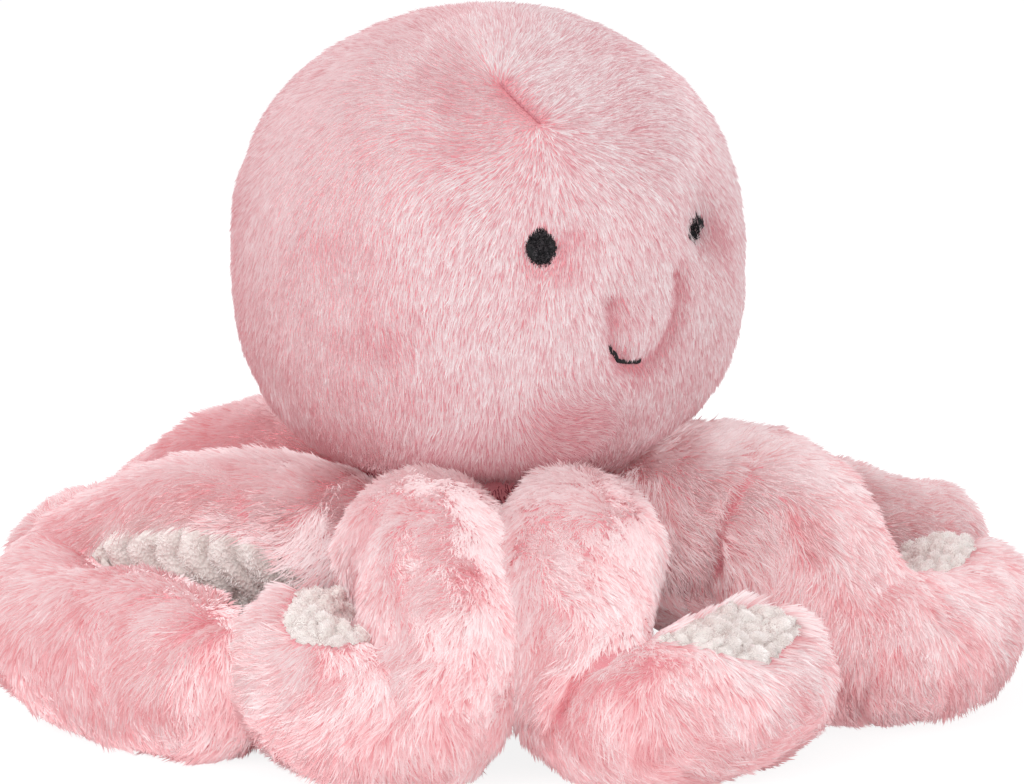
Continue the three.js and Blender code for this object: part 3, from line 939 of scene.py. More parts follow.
def pile_tree():
    tree, given, result = new_tree("Plush pile", PILE_INPUTS)
    skin, seed = given["Geometry"], given["Seed"]
    density = times(tree, given["Density"], named(tree, "pile_density"))
    roots = add_node(
        tree, "GeometryNodeDistributePointsOnFaces", {"Mesh": skin, "Density": density, "Seed": seed}
    )
    lock_density = number(tree, "DIVIDE", 1.0, number(tree, "POWER", given["Lock spacing"], 2.0))
    locks = add_node(
        tree, "GeometryNodeDistributePointsOnFaces", {"Mesh": skin, "Density": lock_density, "Seed": seed}
    ).outputs[0]
    place = add_node(tree, "GeometryNodeInputPosition").outputs[0]
    nearest = add_node(tree, "GeometryNodeSampleNearest", {"Geometry": locks}, domain="POINT").outputs[0]
    centre = add_node(
        tree, "GeometryNodeSampleIndex", {"Geometry": locks, "Value": place, "Index": nearest},
        data_type="FLOAT_VECTOR", domain="POINT",
    ).outputs[0]
    out = roots.outputs["Normal"]

    # The comb wanders in broad swirls and small waves, and differs a little by lock and by fibre
    swirl = times(tree, wander(tree, place, given["Swirl size"], 1.0), given["Swirl"])
    wave_size = times(tree, given["Swirl size"], WAVE_SIZE)
    wave = times(tree, wander(tree, place, wave_size, 0.0), times(tree, given["Swirl"], WAVE_SHARE))
    lock_turn = times(tree, chance(tree, *EITHER_WAY, 11, nearest), given["Lock turn"])
    fibre_turn = times(tree, chance(tree, *EITHER_WAY, 12), given["Jitter"])
    turn = plus(tree, plus(tree, swirl, wave), plus(tree, lock_turn, fibre_turn))
    comb = turned(tree, named(tree, "comb", "FLOAT_VECTOR"), out, turn)
    curl = times(tree, chance(tree, *EITHER_WAY, 17), given["Curl"])
    tip_comb = turned(tree, comb, out, curl)

    # Patches stand up and take painted shade, as their roots would show darker; locks and fibres differ
    # at random in length and in tone
    patch = wander(tree, place, given["Patch size"], 1.5)
    rise = times(tree, plus(tree, patch, named(tree, "pile_stand")), given["Lean change"])
    by_lock = chance(tree, *LOCK_LENGTHS, 13, nearest)
    by_fibre = chance(tree, *FIBRE_LENGTHS, 14)
    stretch = times(tree, by_lock, by_fibre, given["Length"], named(tree, "pile_length"))
    patch_shade = times(tree, number(tree, "MAXIMUM", patch, LEAST_PATCH), given["Patch shade"])
    lock_shade = times(tree, chance(tree, *SHADE_DRAW, 15, nearest), LOCK_SHADE)
    fibre_shade = chance(tree, *SHADE_DRAW, 16)
    own_shade = plus(tree, patch_shade, plus(tree, lock_shade, fibre_shade))
    shade = plus(tree, times(tree, own_shade, given["Shade contrast"]), named(tree, "pile_shade"))
    tone = add_node(tree, "ShaderNodeClamp", {"Value": shade, **SHADE_ENDS}).outputs[0]

    points = roots.outputs[0]
    for name, value in (
        ("pile_root", place), ("pile_lock", vector(tree, "SUBTRACT", centre, place)), ("pile_out", out),
        ("pile_comb", comb), ("pile_tip_comb", tip_comb),
    ):
        points = keep(tree, points, name, value, "FLOAT_VECTOR")
    for name, value in (("pile_stretch", stretch), ("pile_tone", tone), ("pile_rise", rise)):
        points = keep(tree, points, name, value)
    planted = add_node(tree, "GeometryNodeInstanceOnPoints", {"Points": points, "Instance": blade(tree)})
    blades = add_node(tree, "GeometryNodeRealizeInstances", {0: planted.outputs[0]}).outputs[0]

    # Each blade is bent here: it leaves the skin at the root lean and ends at the tip lean
    along, side, risen = named(tree, "pile_along"), named(tree, "pile_side"), named(tree, "pile_rise")
    out, comb = named(tree, "pile_out", "FLOAT_VECTOR"), named(tree, "pile_comb", "FLOAT_VECTOR")
    tip_comb = named(tree, "pile_tip_comb", "FLOAT_VECTOR")
    late = number(tree, "DIVIDE", number(tree, "POWER", along, 2.0), 2.0)
    early = number(tree, "SUBTRACT", along, late)

    def leaning(angle, way):
        lean = number(tree, "SUBTRACT", angle, risen)
        up = vector(tree, "SCALE", out, number(tree, "COSINE", lean))
        return vector(tree, "ADD", up, vector(tree, "SCALE", way, number(tree, "SINE", lean)))

    first = vector(tree, "SCALE", leaning(given["Root lean"], comb), early)
    last = vector(tree, "SCALE", leaning(given["Tip lean"], tip_comb), late)
    body = vector(tree, "SCALE", vector(tree, "ADD", first, last), named(tree, "pile_stretch"))
    pull = times(tree, number(tree, "POWER", along, PULL_POWER), given["Lock pull"])
    drawn = vector(tree, "SCALE", named(tree, "pile_lock", "FLOAT_VECTOR"), pull)
    sideways = vector(tree, "CROSS_PRODUCT", comb, out)
    across = vector(tree, "SCALE", sideways, times(tree, side, given["Width"]))
    offset = vector(tree, "ADD", body, vector(tree, "ADD", drawn, across))
    spot = vector(tree, "ADD", named(tree, "pile_root", "FLOAT_VECTOR"), offset)
    x, y, z = add_node(tree, "ShaderNodeSeparateXYZ", {0: spot}).outputs
    pressed = number(tree, "MAXIMUM", z, given["Floor"])
    spot = add_node(tree, "ShaderNodeCombineXYZ", {"X": x, "Y": y, "Z": pressed}).outputs[0]
    shaped = add_node(tree, "GeometryNodeSetPosition", {"Geometry": blades, "Position": spot}).outputs[0]

    shade_place = plus(tree, named(tree, "pile_tone"), times(tree, side, SHADE_WIDTH))
    map_place = add_node(tree, "ShaderNodeCombineXYZ", {"X": shade_place, "Y": along}).outputs[0]
    mapped = keep(tree, shaped, PILE_MAP, map_place, "FLOAT2", "CORNER")
    for name in ("side", "along", "root", "lock", "out", "comb", "tip_comb", "stretch", "tone", "rise"):
        spent = {"Geometry": mapped, "Name": "pile_" + name}
        mapped = add_node(tree, "GeometryNodeRemoveAttribute", spent).outputs[0]
    paint(tree, mapped, given, result)
    return tree


plush_tree = pile_tree()
print("pile tree:", len(plush_tree.nodes), "nodes")


def grow(tree, name, skin, material, blades=0, **values):
    """Runs a tree on a copy of a skin and keeps what it makes as a plain mesh of its own."""
    made = link_mesh(name, skin.copy())
    modifier = made.modifiers.new(tree.name, "NODES")
    modifier.node_group = tree
    if blades:
        area = sum(face.area for face in skin.polygons)
        values["density"] = blades / area * 1
    values["material"] = material
    for socket in tree.interface.items_tree:
        key = socket.name.replace(" ", "_").lower()
        if socket.in_out == "INPUT" and key in values:
            modifier[socket.identifier] = values[key]
    mesh = applied(made)
    if blades:
        made.visible_shadow = False
        made.visible_diffuse = False
    print(name, len(mesh.polygons), "faces")
    return made


def plain_pile(mesh, length, shade):
    """The same pile all over a skin."""
    kinds = {"pile_density": 1.0, "pile_length": length, "pile_shade": shade, "pile_stand": 0.0}
    for name, value in kinds.items():
        store(mesh, name, np.full(len(mesh.vertices), value))


def dress(piece, body, slot, *replaced):
    """A finished piece rides on its body and stands for its CAD solids; its slot is not used."""
    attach(piece, body)
    if replaced:
        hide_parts(*replaced)


def open_skin(bag, name, wanted, material):
    """The part of a bag's skin whose faces are wanted."""
    mesh = bag.data.copy()
    mesh.name = name
    shape = bmesh.new()
    shape.from_mesh(mesh)
    bmesh.ops.delete(shape, geom=[face for face in shape.faces if not wanted(face)], context="FACES")
    shape.to_mesh(mesh)
    shape.free()
    covered(mesh, material)
    return mesh


def thickened(name, mesh, share, thickness):
    """A skin as cloth: with the given share of its faces, which fur hides, and a thickness inwards."""
    piece = link_mesh(name, mesh.copy())
    thinned(piece, share)
    wall = piece.modifiers.new("Cloth", "SOLIDIFY")
    wall.thickness = thickness
    wall.offset = -1
    applied(piece)
    return piece


# %% Arm backs, pleated bellies and their piles
cloth_thickness = 1.2 * MM
kept_share = 0.3
arm_blades = 63000
belly_blades = 15000
belly_edges = {"arm_1": 0.6, "arm_2": 0.5, "arm_7": 0.4, "arm_8": 2.0}
far_rims = {"arm_1": 6}
rim_turn = 0.3
belly_taper = 16
taper_reaches = {"arm_2": 85 * MM}
taper_reach = 40 * MM
pleat_pitch = 10 * MM
pleat_depth = 4 * MM
pleat_wander = 0.8
nub_size = 6 * MM
nub_depth = 3.6 * MM
nub_shares = (0.55, 0.7)
nub_seam = 0.45
nub_roundness = 0.6
pleat_roundness = 0.6
pleat_valley = 0.45
belly_rim = (0.1, 1.4)
nap_shade = 0.1
seam_shade = 0.9
seam_shade_power = 1.2
seam_nap_share = 0.5
nub_leans = {"root_lean": math.radians(8), "tip_lean": math.radians(62)}


def mean_of(layer, face):
    return sum(vertex[layer] for vertex in face.verts) / len(face.verts)


def belly_edge(arm, face, reached):
    """Where the white starts on an arm: it tapers off towards the root, and may spare the far rim."""
    root = max(1 - mean_of(reached, face) / taper_reaches.get(arm, taper_reach), 0)
    turned_off = min(max(0.5 - face.normal.dot(view_front) / rim_turn, 0), 1)
    return belly_edges.get(arm, 0) + belly_taper * root + far_rims.get(arm, 0) * turned_off


def nubs(places):
    """0 in the seams between irregular lumps, and 1 on top of each."""
    gaps = np.array([noise.voronoi(Vector(place) / nub_size)[0][:2] for place in places])
    return np.clip((gaps[:, 1] - gaps[:, 0]) / nub_seam, 0, 1) ** nub_roundness


def pleated(mesh, arm, index):
    """The belly's skin made finer: drawn up into pleats across the arm, and into nubs at its tip."""
    fine = link_mesh("belly_fine", mesh)
    mesh = finer(fine)
    bpy.data.objects.remove(fine)
    places, reach = places_of(mesh), stored(mesh, "reach")
    inward = smooth_step(stored(mesh, "belly") - belly_edges.get(arm, 0), *belly_rim)
    phase = math.pi * reach / pleat_pitch + pleat_wander * lumps(places, lump_size, index + 40)
    tip = smooth_step(reach / reach.max(), *nub_shares)
    pleats = np.abs(np.sin(phase)) ** pleat_roundness
    ridge = pleats * (1 - tip) + nubs(places) * tip
    height = (pleat_depth * (1 - tip) + nub_depth * tip) * (ridge - pleat_valley)
    places += normals_of(mesh) * (height * inward)[:, None]
    places[:, 2] = np.maximum(places[:, 2], cad_low.z)
    set_places(mesh, places)
    # Painted shade: the nap darkens in the seams between the pleats and the nubs
    store(mesh, "pile_shade", nap_shade + seam_shade * (1 - ridge) ** seam_shade_power)
    store(mesh, "pile_length", seam_nap_share + (1 - seam_nap_share) * ridge)
    return mesh


for index, (arm, bag) in enumerate(bags.items()):
    shape = bmesh.new()
    shape.from_mesh(bag.data)
    layer = shape.verts.layers.float["belly"]
    reached = shape.verts.layers.float["reach"]
    white = {face.index for face in shape.faces if mean_of(layer, face) > belly_edge(arm, face, reached)}
    shape.free()
    back = open_skin(bag, arm + "_skin", lambda face: face.index not in white, pink_backing)
    under = open_skin(bag, arm + "_nap", lambda face: face.index in white, cream_backing)
    under = pleated(under, arm, index)
    skin = thickened(arm + "_back", back, kept_share, cloth_thickness)
    belly = thickened(arm + "_under", under, kept_share, cloth_thickness)
    pile = grow(plush_tree, arm + "_pile", back, arm_pile, arm_blades, seed=index + 1)
    nap = grow(
        plush_tree, arm + "_nubs", under, belly_pile, belly_blades, length=1.2 * MM, width=0.34 * MM,
        lock_spacing=1.6 * MM, lock_pull=0.3, swirl=math.radians(140), swirl_size=14 * MM,
        patch_shade=0.0, shade_contrast=0.2, seed=index + 51, **nub_leans,
    )
    dress(skin, arm, "arm_plush", arm + "_cover")
    dress(belly, arm, "belly_plush", arm + "_belly")
    dress(pile, arm, "arm_plush")
    dress(nap, arm, "belly_plush")
    bpy.data.objects.remove(bag)

# %% [markdown]
# ## Head
# The head is one stuffed ball, drawn in by threads: deepest at the eyes, then along the smile, and a
# little at the crown's seam. The ball follows the same rounded formula as the CAD head, and the
# places on it are given as degrees round from the face and as heights above the head's middle.

# %% The head's ball
head_low, head_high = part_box("head_cover")
head_centre_height = 155.5 * MM
head_swell = 2 * MM
head_half_width = (head_high.x - head_low.x) / 2 + head_swell
head_half_height = head_high.z - head_centre_height
head_top_power = 2.1
head_under_power = 2.6
head_fineness = 7
head_lump_size = 45 * MM
head_lump_depth = 1.2 * MM
filling_inset = 3.2 * MM


def on_head(azimuth, rise):
    """The point on the head's plain skin at an angle round from the face and a height above its middle."""
    power = head_top_power if rise > 0 else head_under_power
    radius = head_half_width * (1 - abs(rise / head_half_height) ** power) ** (1 / power)
    angle = math.radians(azimuth)
    return Vector((math.sin(angle) * radius, -math.cos(angle) * radius, head_centre_height + rise))


def head_ball():
    shape = bmesh.new()
    bmesh.ops.create_icosphere(shape, subdivisions=head_fineness, radius=1)
    for vertex in shape.verts:
        flat = math.hypot(vertex.co.x, vertex.co.y) / head_half_width
        tall = abs(vertex.co.z) / head_half_height
        power = head_top_power if vertex.co.z > 0 else head_under_power
        vertex.co *= (flat**power + tall**power) ** (-1 / power)
        vertex.co.z += head_centre_height
    return mesh_from(shape, "head_skin")


# %% Draw the face in
eye_spots = {"right": (-21.5, 7.8 * MM), "left": (23, 10.5 * MM)}
eye_half_width = 4.4 * MM
eye_half_height = 6.1 * MM
# How wide and how deep the skin is drawn in
right_eye_pull = (11 * MM, 4.0 * MM)
left_eye_pull = (12 * MM, 6.0 * MM)
smile_pull = (4 * MM, 3.2 * MM)
crown_pull = (4 * MM, 1.6 * MM)
smile_azimuth = 3.5
smile_half_angle = 9.5
smile_tilt = 4 * MM
smile_end_rise = -6 * MM
smile_depth = 25 * MM
smile_squareness = 0.8
smile_steps = 60
smile_shown_shares = (0.18, 0.54)
seam_ends = [(-29, 58 * MM), (-20, 47 * MM)]
seam_steps = 16


def smile_line(count):
    """A rounded U from one end of the smile to the other."""
    line = []
    for step in range(count):
        angle = math.pi * step / (count - 1)
        droop = smile_depth * max(math.sin(angle), 0) ** smile_squareness
        rise = smile_end_rise - droop - smile_tilt * math.cos(angle)
        line.append(on_head(smile_azimuth - smile_half_angle * math.cos(angle), rise))
    return line


def straight_line(start, end, count):
    shares = [step / (count - 1) for step in range(count)]
    return [on_head(*(a + (b - a) * share for a, b in zip(start, end))) for share in shares]


head_mesh = head_ball()
places = places_of(head_mesh)
smile = smile_line(smile_steps)
first_shown, last_shown = (round(smile_steps * share) for share in smile_shown_shares)
right_eye, left_eye = (np.array(on_head(*spot)) for spot in eye_spots.values())
crown = straight_line(*seam_ends, seam_steps)
near_right_eye = np.linalg.norm(places - right_eye, axis=1)
near_left_eye = np.linalg.norm(places - left_eye, axis=1)
near_smile = distance_to_line(places, smile)
near_shown = distance_to_line(places, smile[first_shown:last_shown])
near_crown = distance_to_line(places, crown)
depth = hollow(near_right_eye, *right_eye_pull) + hollow(near_left_eye, *left_eye_pull)
depth += hollow(near_smile, *smile_pull)
depth += hollow(near_crown, *crown_pull)
depth -= head_lump_depth * lumps(places, head_lump_size, 80)
set_places(head_mesh, places - normals_of(head_mesh) * depth[:, None])
print("face drawn in by up to", round(float(depth.max()) / MM, 1), "mm")

# %% The head's comb and shades
# The spans over which the pile thins out: no pile at the first distance, all of it at the second
bare_at_smile = (0.7 * MM, 1.9 * MM)
bare_at_right_eye = (4.9 * MM, 6.8 * MM)
bare_at_left_eye = (1 * MM, 4 * MM)
eye_clearance_rise = 2 * MM
# The same with a share of the pile left: thinner under the head, shorter by the threads
thin_underneath = (0.2, head_low.z + 2 * MM, head_low.z + 8 * MM)
short_at_right_eye = (0.4, 5 * MM, 13 * MM)
short_at_smile = (0.5, 1 * MM, 7 * MM)
short_at_crown = (0.5, 1 * MM, 6 * MM)
head_shade = 0.46
smile_shade = (3 * MM, 0.6)
crown_shade = (2.5 * MM, 0.5)
low_shade = 0.25
low_heights = (88 * MM, 125 * MM)
arms_height = 110 * MM
fall_share = 0.8
fall_distances = (15 * MM, 75 * MM)
# Each patch: its column and row in the photograph, its size in mm, how much painted shade it gets
# (painted light where it is below 0), how far its pile stands up, and by how many degrees the comb
# turns there
head_patches = [
    (330, 105, 48, -0.4, 0, 0), (300, 250, 30, -0.1, 0, 0), (680, 350, 18, 0.15, 0, 0),
    (578, 232, 5, 0.45, 0.7, 0), (556, 262, 6, 0.3, 0.5, 0), (714, 228, 7, 0.45, 0.4, 0),
    (575, 422, 15, 0.25, 0.6, 130), (642, 374, 4, 0.3, 0.3, 0), (320, 250, 12, 0.12, 0.5, 30),
    (440, 130, 14, 0.12, 0.5, -30), (380, 330, 14, 0.1, 0.4, 25), (640, 120, 10, 0.1, 0.4, 20),
]
places, normals = places_of(head_mesh), normals_of(head_mesh)


def growing_to(distance, least, start, end):
    """The least value up to the first distance, and 1 from the second one on."""
    return least + (1 - least) * smooth_step(distance, start, end)


away = away_from_line(places, crown)
fallen = fall_share * smooth_step(np.linalg.norm(away, axis=1), *fall_distances)[:, None]
comb = unit(hung(unit(along_skin(away, normals), 0.5 * MM), normals, fallen), 0.1)

around_eye = places - right_eye - (0, 0, eye_clearance_rise)
around_eye[:, 2] *= eye_half_width / eye_half_height
cover = smooth_step(near_shown, *bare_at_smile)
cover *= smooth_step(np.linalg.norm(around_eye, axis=1), *bare_at_right_eye)
cover *= smooth_step(near_left_eye, *bare_at_left_eye)
cover *= growing_to(places[:, 2], *thin_underneath)
length = growing_to(near_right_eye, *short_at_right_eye)
length *= growing_to(near_shown, *short_at_smile)
length *= growing_to(near_crown, *short_at_crown)
# Painted shade: darker along the smile and the crown's seam, on the lower head, close to the arms and in
# most of the patches; the top left patches get painted light
dark = head_shade + hollow(near_smile, *smile_shade) + hollow(near_crown, *crown_shade)
dark += low_shade * (1 - smooth_step(places[:, 2], *low_heights))
low_down = np.flatnonzero(places[:, 2] < arms_height)
dark[low_down] += contact_shade * shade_near(places[low_down], skin_trees) ** contact_falloff
stand = np.zeros(len(places))
head_tree = tree_of(head_mesh)
for column, row, size, shade, lift, turn in head_patches:
    spot = head_tree.ray_cast(camera.location, ray_through(column, row))[0]
    near = np.linalg.norm(places - np.array(spot), axis=1)
    share = hollow(near, size * MM, 1)
    dark += shade * share
    stand += lift * share
    angle = (math.radians(turn) * share)[:, None]
    comb = comb * np.cos(angle) + np.cross(normals, comb) * np.sin(angle)
pile_kinds = {"pile_density": cover, "pile_length": length, "pile_shade": dark, "pile_stand": stand}
for name, values in {"comb": comb, **pile_kinds}.items():
    store(head_mesh, name, values)
head_mesh.materials.append(pink_backing)

# %% The head's pile, in four quarters
# The head carries the most fibres, so its pile is split into four pieces of a handy size
head_quarter_blades = 60000
head_kept_share = 0.2
filling_kept_share = 0.3
quarters = {
    "front_right": lambda middle: middle.y < 0 and middle.x < 0,
    "front_left": lambda middle: middle.y < 0 and middle.x >= 0,
    "back_right": lambda middle: middle.y >= 0 and middle.x < 0,
    "back_left": lambda middle: middle.y >= 0 and middle.x >= 0,
}
head = link_mesh("head_ball", head_mesh)
for quarter, belongs in quarters.items():
    part = open_skin(head, "head_part", lambda face: belongs(face.calc_center_median()), pink_backing)
    pile = grow(
        plush_tree, "head_pile_" + quarter, part, head_pile, head_quarter_blades, length=5.6 * MM,
        width=0.31 * MM, root_lean=math.radians(52), tip_lean=math.radians(83),
        lean_change=math.radians(10), lock_spacing=1.7 * MM, lock_pull=0.22, lock_turn=0.12, jitter=0.2,
        curl=0.25, swirl=math.radians(20), swirl_size=45 * MM, patch_shade=0.25, shade_contrast=0.8, seed=21,
    )
    dress(pile, "body", "head_plush")
skin = link_mesh("head_skin", head_mesh.copy())
filling = link_mesh("head_filling", head_mesh.copy())
for piece, share in ((skin, head_kept_share), (filling, head_kept_share * filling_kept_share)):
    thinned(piece, share)
    applied(piece)
set_places(filling.data, places_of(filling.data) - normals_of(filling.data) * filling_inset)
dress(skin, "body", "head_plush", "head_cover")
dress(filling, "body", "fibre", "head_stuffing")
bpy.data.objects.remove(head)

# %% [markdown]
# ## Threads of the face and the crown
# The eyes are filled with satin stitches side by side, the smile is a line of short stitches, and the
# seam on the crown shows as a closed line. One tree makes all of them: stitches set at even steps
# along a guide line, each a thin rounded thread that lies on the head.

# %% The stitch tree
STITCH_INPUTS = {
    "Pitch": 2 * MM,
    "Stitch length": 2.4 * MM,
    "Thread radius": 0.5 * MM,
    "Turn": 0.0,
    "Oval": 0.0,
    "Centre height": head_centre_height,
    "Unevenness": 0.1,
    "Seed": 1,
}
OVAL_ROOM = 1.02


def stitch_tree():
    tree, given, result = new_tree("Stitches", STITCH_INPUTS)
    guide = add_node(tree, "GeometryNodeMeshToCurve", {0: given["Geometry"]}).outputs[0]
    steps = {"Curve": guide, "Length": given["Pitch"]}
    even = add_node(tree, "GeometryNodeResampleCurve", steps, mode="LENGTH").outputs[0]
    place = add_node(tree, "GeometryNodeInputPosition").outputs[0]
    middle = add_node(tree, "ShaderNodeCombineXYZ", {"Z": given["Centre height"]}).outputs[0]
    out = vector(tree, "NORMALIZE", vector(tree, "SUBTRACT", place, middle))
    along = add_node(tree, "GeometryNodeInputTangent").outputs[0]
    lying = turned(tree, along, out, given["Turn"])
    align = "FunctionNodeAlignRotationToVector"
    first = add_node(tree, align, {"Vector": lying}, axis="X").outputs[0]
    turn = add_node(tree, align, {"Rotation": first, "Vector": out}, axis="Z", pivot_axis="X").outputs[0]

    # Across an oval the stitches get shorter towards both ends of their row
    share = add_node(tree, "GeometryNodeSplineParameter").outputs[0]
    from_middle = number(tree, "SUBTRACT", times(tree, share, 2.0), 1.0)
    outline = number(tree, "SUBTRACT", OVAL_ROOM, number(tree, "POWER", from_middle, 2.0))
    flat_share = number(tree, "SUBTRACT", 1.0, given["Oval"])
    oval = plus(tree, flat_share, times(tree, number(tree, "SQRT", outline), given["Oval"]))
    uneven = chance(tree, number(tree, "SUBTRACT", 1.0, given["Unevenness"]), 1.0, given["Seed"])
    length = times(tree, times(tree, given["Stitch length"], 0.5), times(tree, oval, uneven))
    thick = given["Thread radius"]
    size = add_node(tree, "ShaderNodeCombineXYZ", {"X": length, "Y": thick, "Z": thick}).outputs[0]
    ball = {"Segments": 8, "Rings": 7, "Radius": 1.0}
    thread = add_node(tree, "GeometryNodeMeshUVSphere", ball).outputs[0]
    set_out = {"Points": even, "Instance": thread, "Rotation": turn, "Scale": size}
    rows = add_node(tree, "GeometryNodeInstanceOnPoints", set_out).outputs[0]
    whole = add_node(tree, "GeometryNodeRealizeInstances", {0: rows}).outputs[0]
    paint(tree, whole, given, result)
    return tree


strand_size = 0.6 * MM
strand_depth = 0.1 * MM


def thread_material(name, dark, light, roughness):
    material, tree, shader = new_material(name)
    strands = pattern(tree, "Noise", strand_size, Detail=3)
    stops = [(0.35, dark), (0.7, light)]
    surface(tree, shader, strands, stops, strands, strength=0.4, depth=strand_depth, roughness=roughness)
    return material


stitches = stitch_tree()
black_thread = thread_material("black_thread", (0.004, 0.004, 0.005), (0.014, 0.013, 0.015), 0.8)
rose_thread = thread_material("rose_thread", (0.45, 0.14, 0.17), (0.62, 0.25, 0.28), 0.9)


# %% Eyes, smile and crown seam
felt_blades = 5000
patch_rings = 14
patch_sides = 28
eye_dome = 1.6
eye_thread_radius = 0.3 * MM
eye_thread_height = 1.1 * MM
eye_row_share = 0.97
smile_sunk = 1.5 * MM
smile_proud = 0.2 * MM
crown_proud = 0.3 * MM


def guide_mesh(name, points):
    mesh = bpy.data.meshes.new(name)
    mesh.from_pydata([tuple(point) for point in points], [(i, i + 1) for i in range(len(points) - 1)], [])
    return mesh


def laid_on_head(points, proud):
    """The points brought down onto the drawn-in skin, and then out by the given height."""
    laid = []
    for point in points:
        spot, normal, _, _ = head_tree.find_nearest(point)
        laid.append(spot + normal * proud)
    return laid


def turned_solid(outline, sides):
    """A closed solid round the upright axis, from the radius and height of each point of its outline."""
    (_, foot), *rings, (_, top) = outline
    angles = [2 * math.pi * side / sides for side in range(sides)]
    shape = bmesh.new()
    low, high = shape.verts.new((0, 0, foot)), shape.verts.new((0, 0, top))
    rows = [
        [shape.verts.new((math.cos(angle) * radius, math.sin(angle) * radius, height)) for angle in angles]
        for radius, height in rings
    ]
    for side in range(sides):
        after = (side + 1) % sides
        shape.faces.new((low, rows[0][after], rows[0][side]))
        for under, over in zip(rows, rows[1:]):
            shape.faces.new((under[side], under[after], over[after], over[side]))
        shape.faces.new((high, rows[-1][side], rows[-1][after]))
    return shape


def eye_patch(name, spot):
    """A domed oval of felted thread under the satin stitches."""
    angles = [math.pi * step / patch_rings for step in range(patch_rings + 1)]
    shape = turned_solid([(math.sin(angle), -math.cos(angle)) for angle in angles], patch_sides)
    middle = laid_on_head([on_head(*spot)], 0)[0]
    out = (middle - Vector((0, 0, head_centre_height))).normalized()
    right = Vector((0, 0, 1)).cross(out).normalized()
    up = out.cross(right)
    for vertex in shape.verts:
        x, y, z = vertex.co
        flat = middle + right * (x * eye_half_width) + up * (y * eye_half_height)
        vertex.co = flat + out * (z * eye_dome * MM)
    return mesh_from(shape, name, black_thread)


for side, spot in eye_spots.items():
    patch = link_mesh(f"eye_{side}_patch", eye_patch(f"eye_{side}_patch", spot))
    wide = math.degrees(eye_half_width * eye_row_share / head_half_width)
    row = straight_line((spot[0] - wide, spot[1]), (spot[0] + wide, spot[1]), 9)
    guide = guide_mesh("eye_guide", laid_on_head(row, eye_thread_height))
    satin = grow(
        stitches, f"eye_{side}_satin", guide, black_thread, pitch=0.5 * MM,
        stitch_length=eye_half_height * 2, thread_radius=eye_thread_radius, turn=math.pi / 2, oval=1.0,
        unevenness=0.3, seed=5,
    )
    felt = patch.data.copy()
    plain_pile(felt, length=1.0, shade=0.5)
    store(felt, "comb", comb_up(felt, places_of(felt)[:, 2]))
    fuzz = grow(
        plush_tree, f"eye_{side}_felt", felt, black_pile, felt_blades, length=1.9 * MM, width=0.22 * MM,
        root_lean=math.radians(20), tip_lean=math.radians(75), lock_spacing=1.4 * MM, lock_pull=0.5,
        swirl=math.pi, swirl_size=3 * MM, jitter=0.8, seed=9,
    )
    dress(patch, "body", "black_thread", f"eye_{side}")
    dress(satin, "body", "black_thread")
    dress(fuzz, "body", "black_thread")

# Only the middle of the smile's thread shows: the rest of it is sunk into the plush
sunk_line, proud_line = laid_on_head(smile, -smile_sunk), laid_on_head(smile, smile_proud)
smile_thread_line = sunk_line[:first_shown] + proud_line[first_shown:last_shown] + sunk_line[last_shown:]
guide = guide_mesh("smile_guide", smile_thread_line)
mouth = grow(
    stitches, "smile_stitches", guide, black_thread, pitch=1.2 * MM, stitch_length=3.2 * MM,
    thread_radius=0.8 * MM, unevenness=0.05, seed=6,
)
dress(mouth, "body", "black_thread", "smile_thread")
guide = guide_mesh("crown_guide", laid_on_head(crown, crown_proud))
crown_row = grow(
    stitches, "crown_seam", guide, rose_thread, pitch=1.8 * MM, stitch_length=2.4 * MM,
    thread_radius=0.5 * MM, unevenness=0.1, seed=7,
)
dress(crown_row, "body", "seam_thread", "crown_seam_thread")

# %% [markdown]
# ## Body and base
# The body between the arms is a short tube of the same plush, seen only as a deep pink shadow. It is
# swelled a little, so that its stuffing stays inside the evened skin. Its base is a flat panel of
# plain cloth, sewn in with a row of stitches.

# %% Body tube
body_blades = 24000
body_swell = 2 * MM
body_skin = fused("body_skin", ["body_cover", "body_stuffing"], bag_voxel)
mesh = body_skin.data
mesh.materials.append(pink_backing)
places = evened(mesh, bag_smoothings)
set_places(mesh, places + normals_of(mesh) * body_swell)
store(mesh, "comb", np.tile([0.0, 0.0, -1.0], (len(places), 1)))
plain_pile(mesh, length=0.55, shade=1.1)
pile = grow(plush_tree, "body_pile", mesh, body_shadow, body_blades, seed=31)
dress(pile, "body", "arm_plush")
dress(body_skin, "body", "arm_plush", "body_cover")

# %% Base panel
panel_low, panel_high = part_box("base_panel")
panel_radius = (panel_high.x - panel_low.x) / 2
panel_thickness = panel_high.z - panel_low.z
seam_inset = 3 * MM
# A centre far above the panel: seen from it, every stitch of the rim lies flat against the cloth
rim_centre_height = 100.0
panel_rings = 10
panel_sides = 72


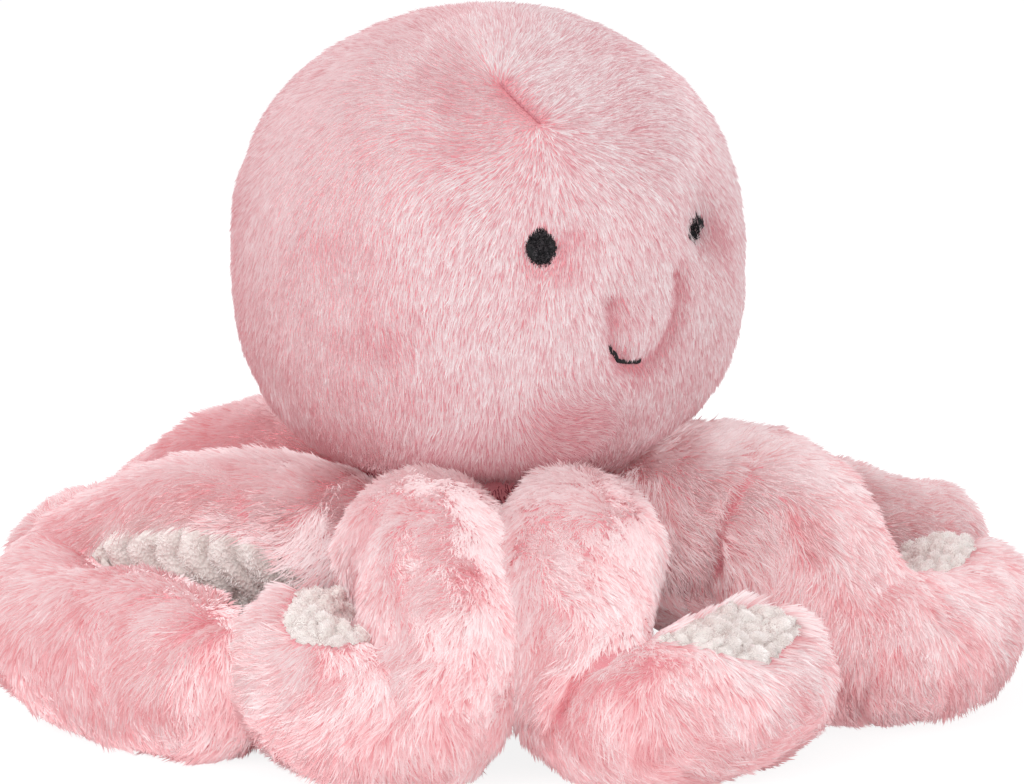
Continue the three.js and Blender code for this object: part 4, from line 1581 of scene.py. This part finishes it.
def panel_mesh():
    """A flat disc of cloth with a soft rolled rim, turned from its half outline."""
    roll = panel_thickness / 2
    outline = [(0, panel_low.z)]
    for step in range(panel_rings + 1):
        angle = -math.pi / 2 + math.pi * step / panel_rings
        radius = panel_radius - roll + math.cos(angle) * roll
        outline.append((radius, panel_low.z + roll + math.sin(angle) * roll))
    outline.append((0, panel_high.z))
    return mesh_from(turned_solid(outline, panel_sides), "base_cloth", cream_backing)


base = link_mesh("base_cloth", panel_mesh())
dress(base, "body", "belly_plush", "base_panel")
rim_angles = [2 * math.pi * step / panel_sides for step in range(panel_sides + 1)]
rim = [Vector((math.cos(angle), math.sin(angle), 0)) * (panel_radius - seam_inset) for angle in rim_angles]
guide = guide_mesh("rim_guide", [point + Vector((0, 0, panel_low.z)) for point in rim])
rim_row = grow(
    stitches, "base_stitches", guide, rose_thread, pitch=3.6 * MM, stitch_length=2.8 * MM,
    thread_radius=0.35 * MM, centre_height=rim_centre_height, seed=8,
)
dress(rim_row, "body", "belly_plush")


# %% [markdown]
# ## What is inside
# Nobody sees the fibre, the pouch and its pellets, but they are real pieces, so each gets the look of
# its own stuff: cells of light and dark that are as large as a tuft, a thread or a pellet.

# %% Inner pieces
def inner_material(name, dark, light, grain, roughness):
    material, tree, shader = new_material(name)
    cells = pattern(tree, "Voronoi", grain)
    stops = [(0.0, light), (0.8, dark)]
    surface(tree, shader, cells, stops, cells, strength=0.6, depth=grain, roughness=roughness)
    return material


fibre = inner_material("loose_fibre", (0.82, 0.8, 0.77), (0.95, 0.94, 0.92), 2.5 * MM, 1.0)
pouch_cloth = inner_material("pouch_cloth", (0.7, 0.67, 0.6), (0.85, 0.82, 0.76), 0.8 * MM, 1.0)
pellets = inner_material("pellets", (0.55, 0.57, 0.6), (0.85, 0.86, 0.88), 3 * MM, 0.4)
inner = {name: fibre for name in solids if name.endswith("_stuffing") or name == "face_pull_thread"}
inner.update({"pellet_pouch": pouch_cloth, "pellet_fill": pellets})
covered(filling.data, fibre)
for name, material in inner.items():
    covered(solids[name].data, material)
print("inner pieces:", len(inner))

# %% Update the scene
bpy.context.view_layer.update()
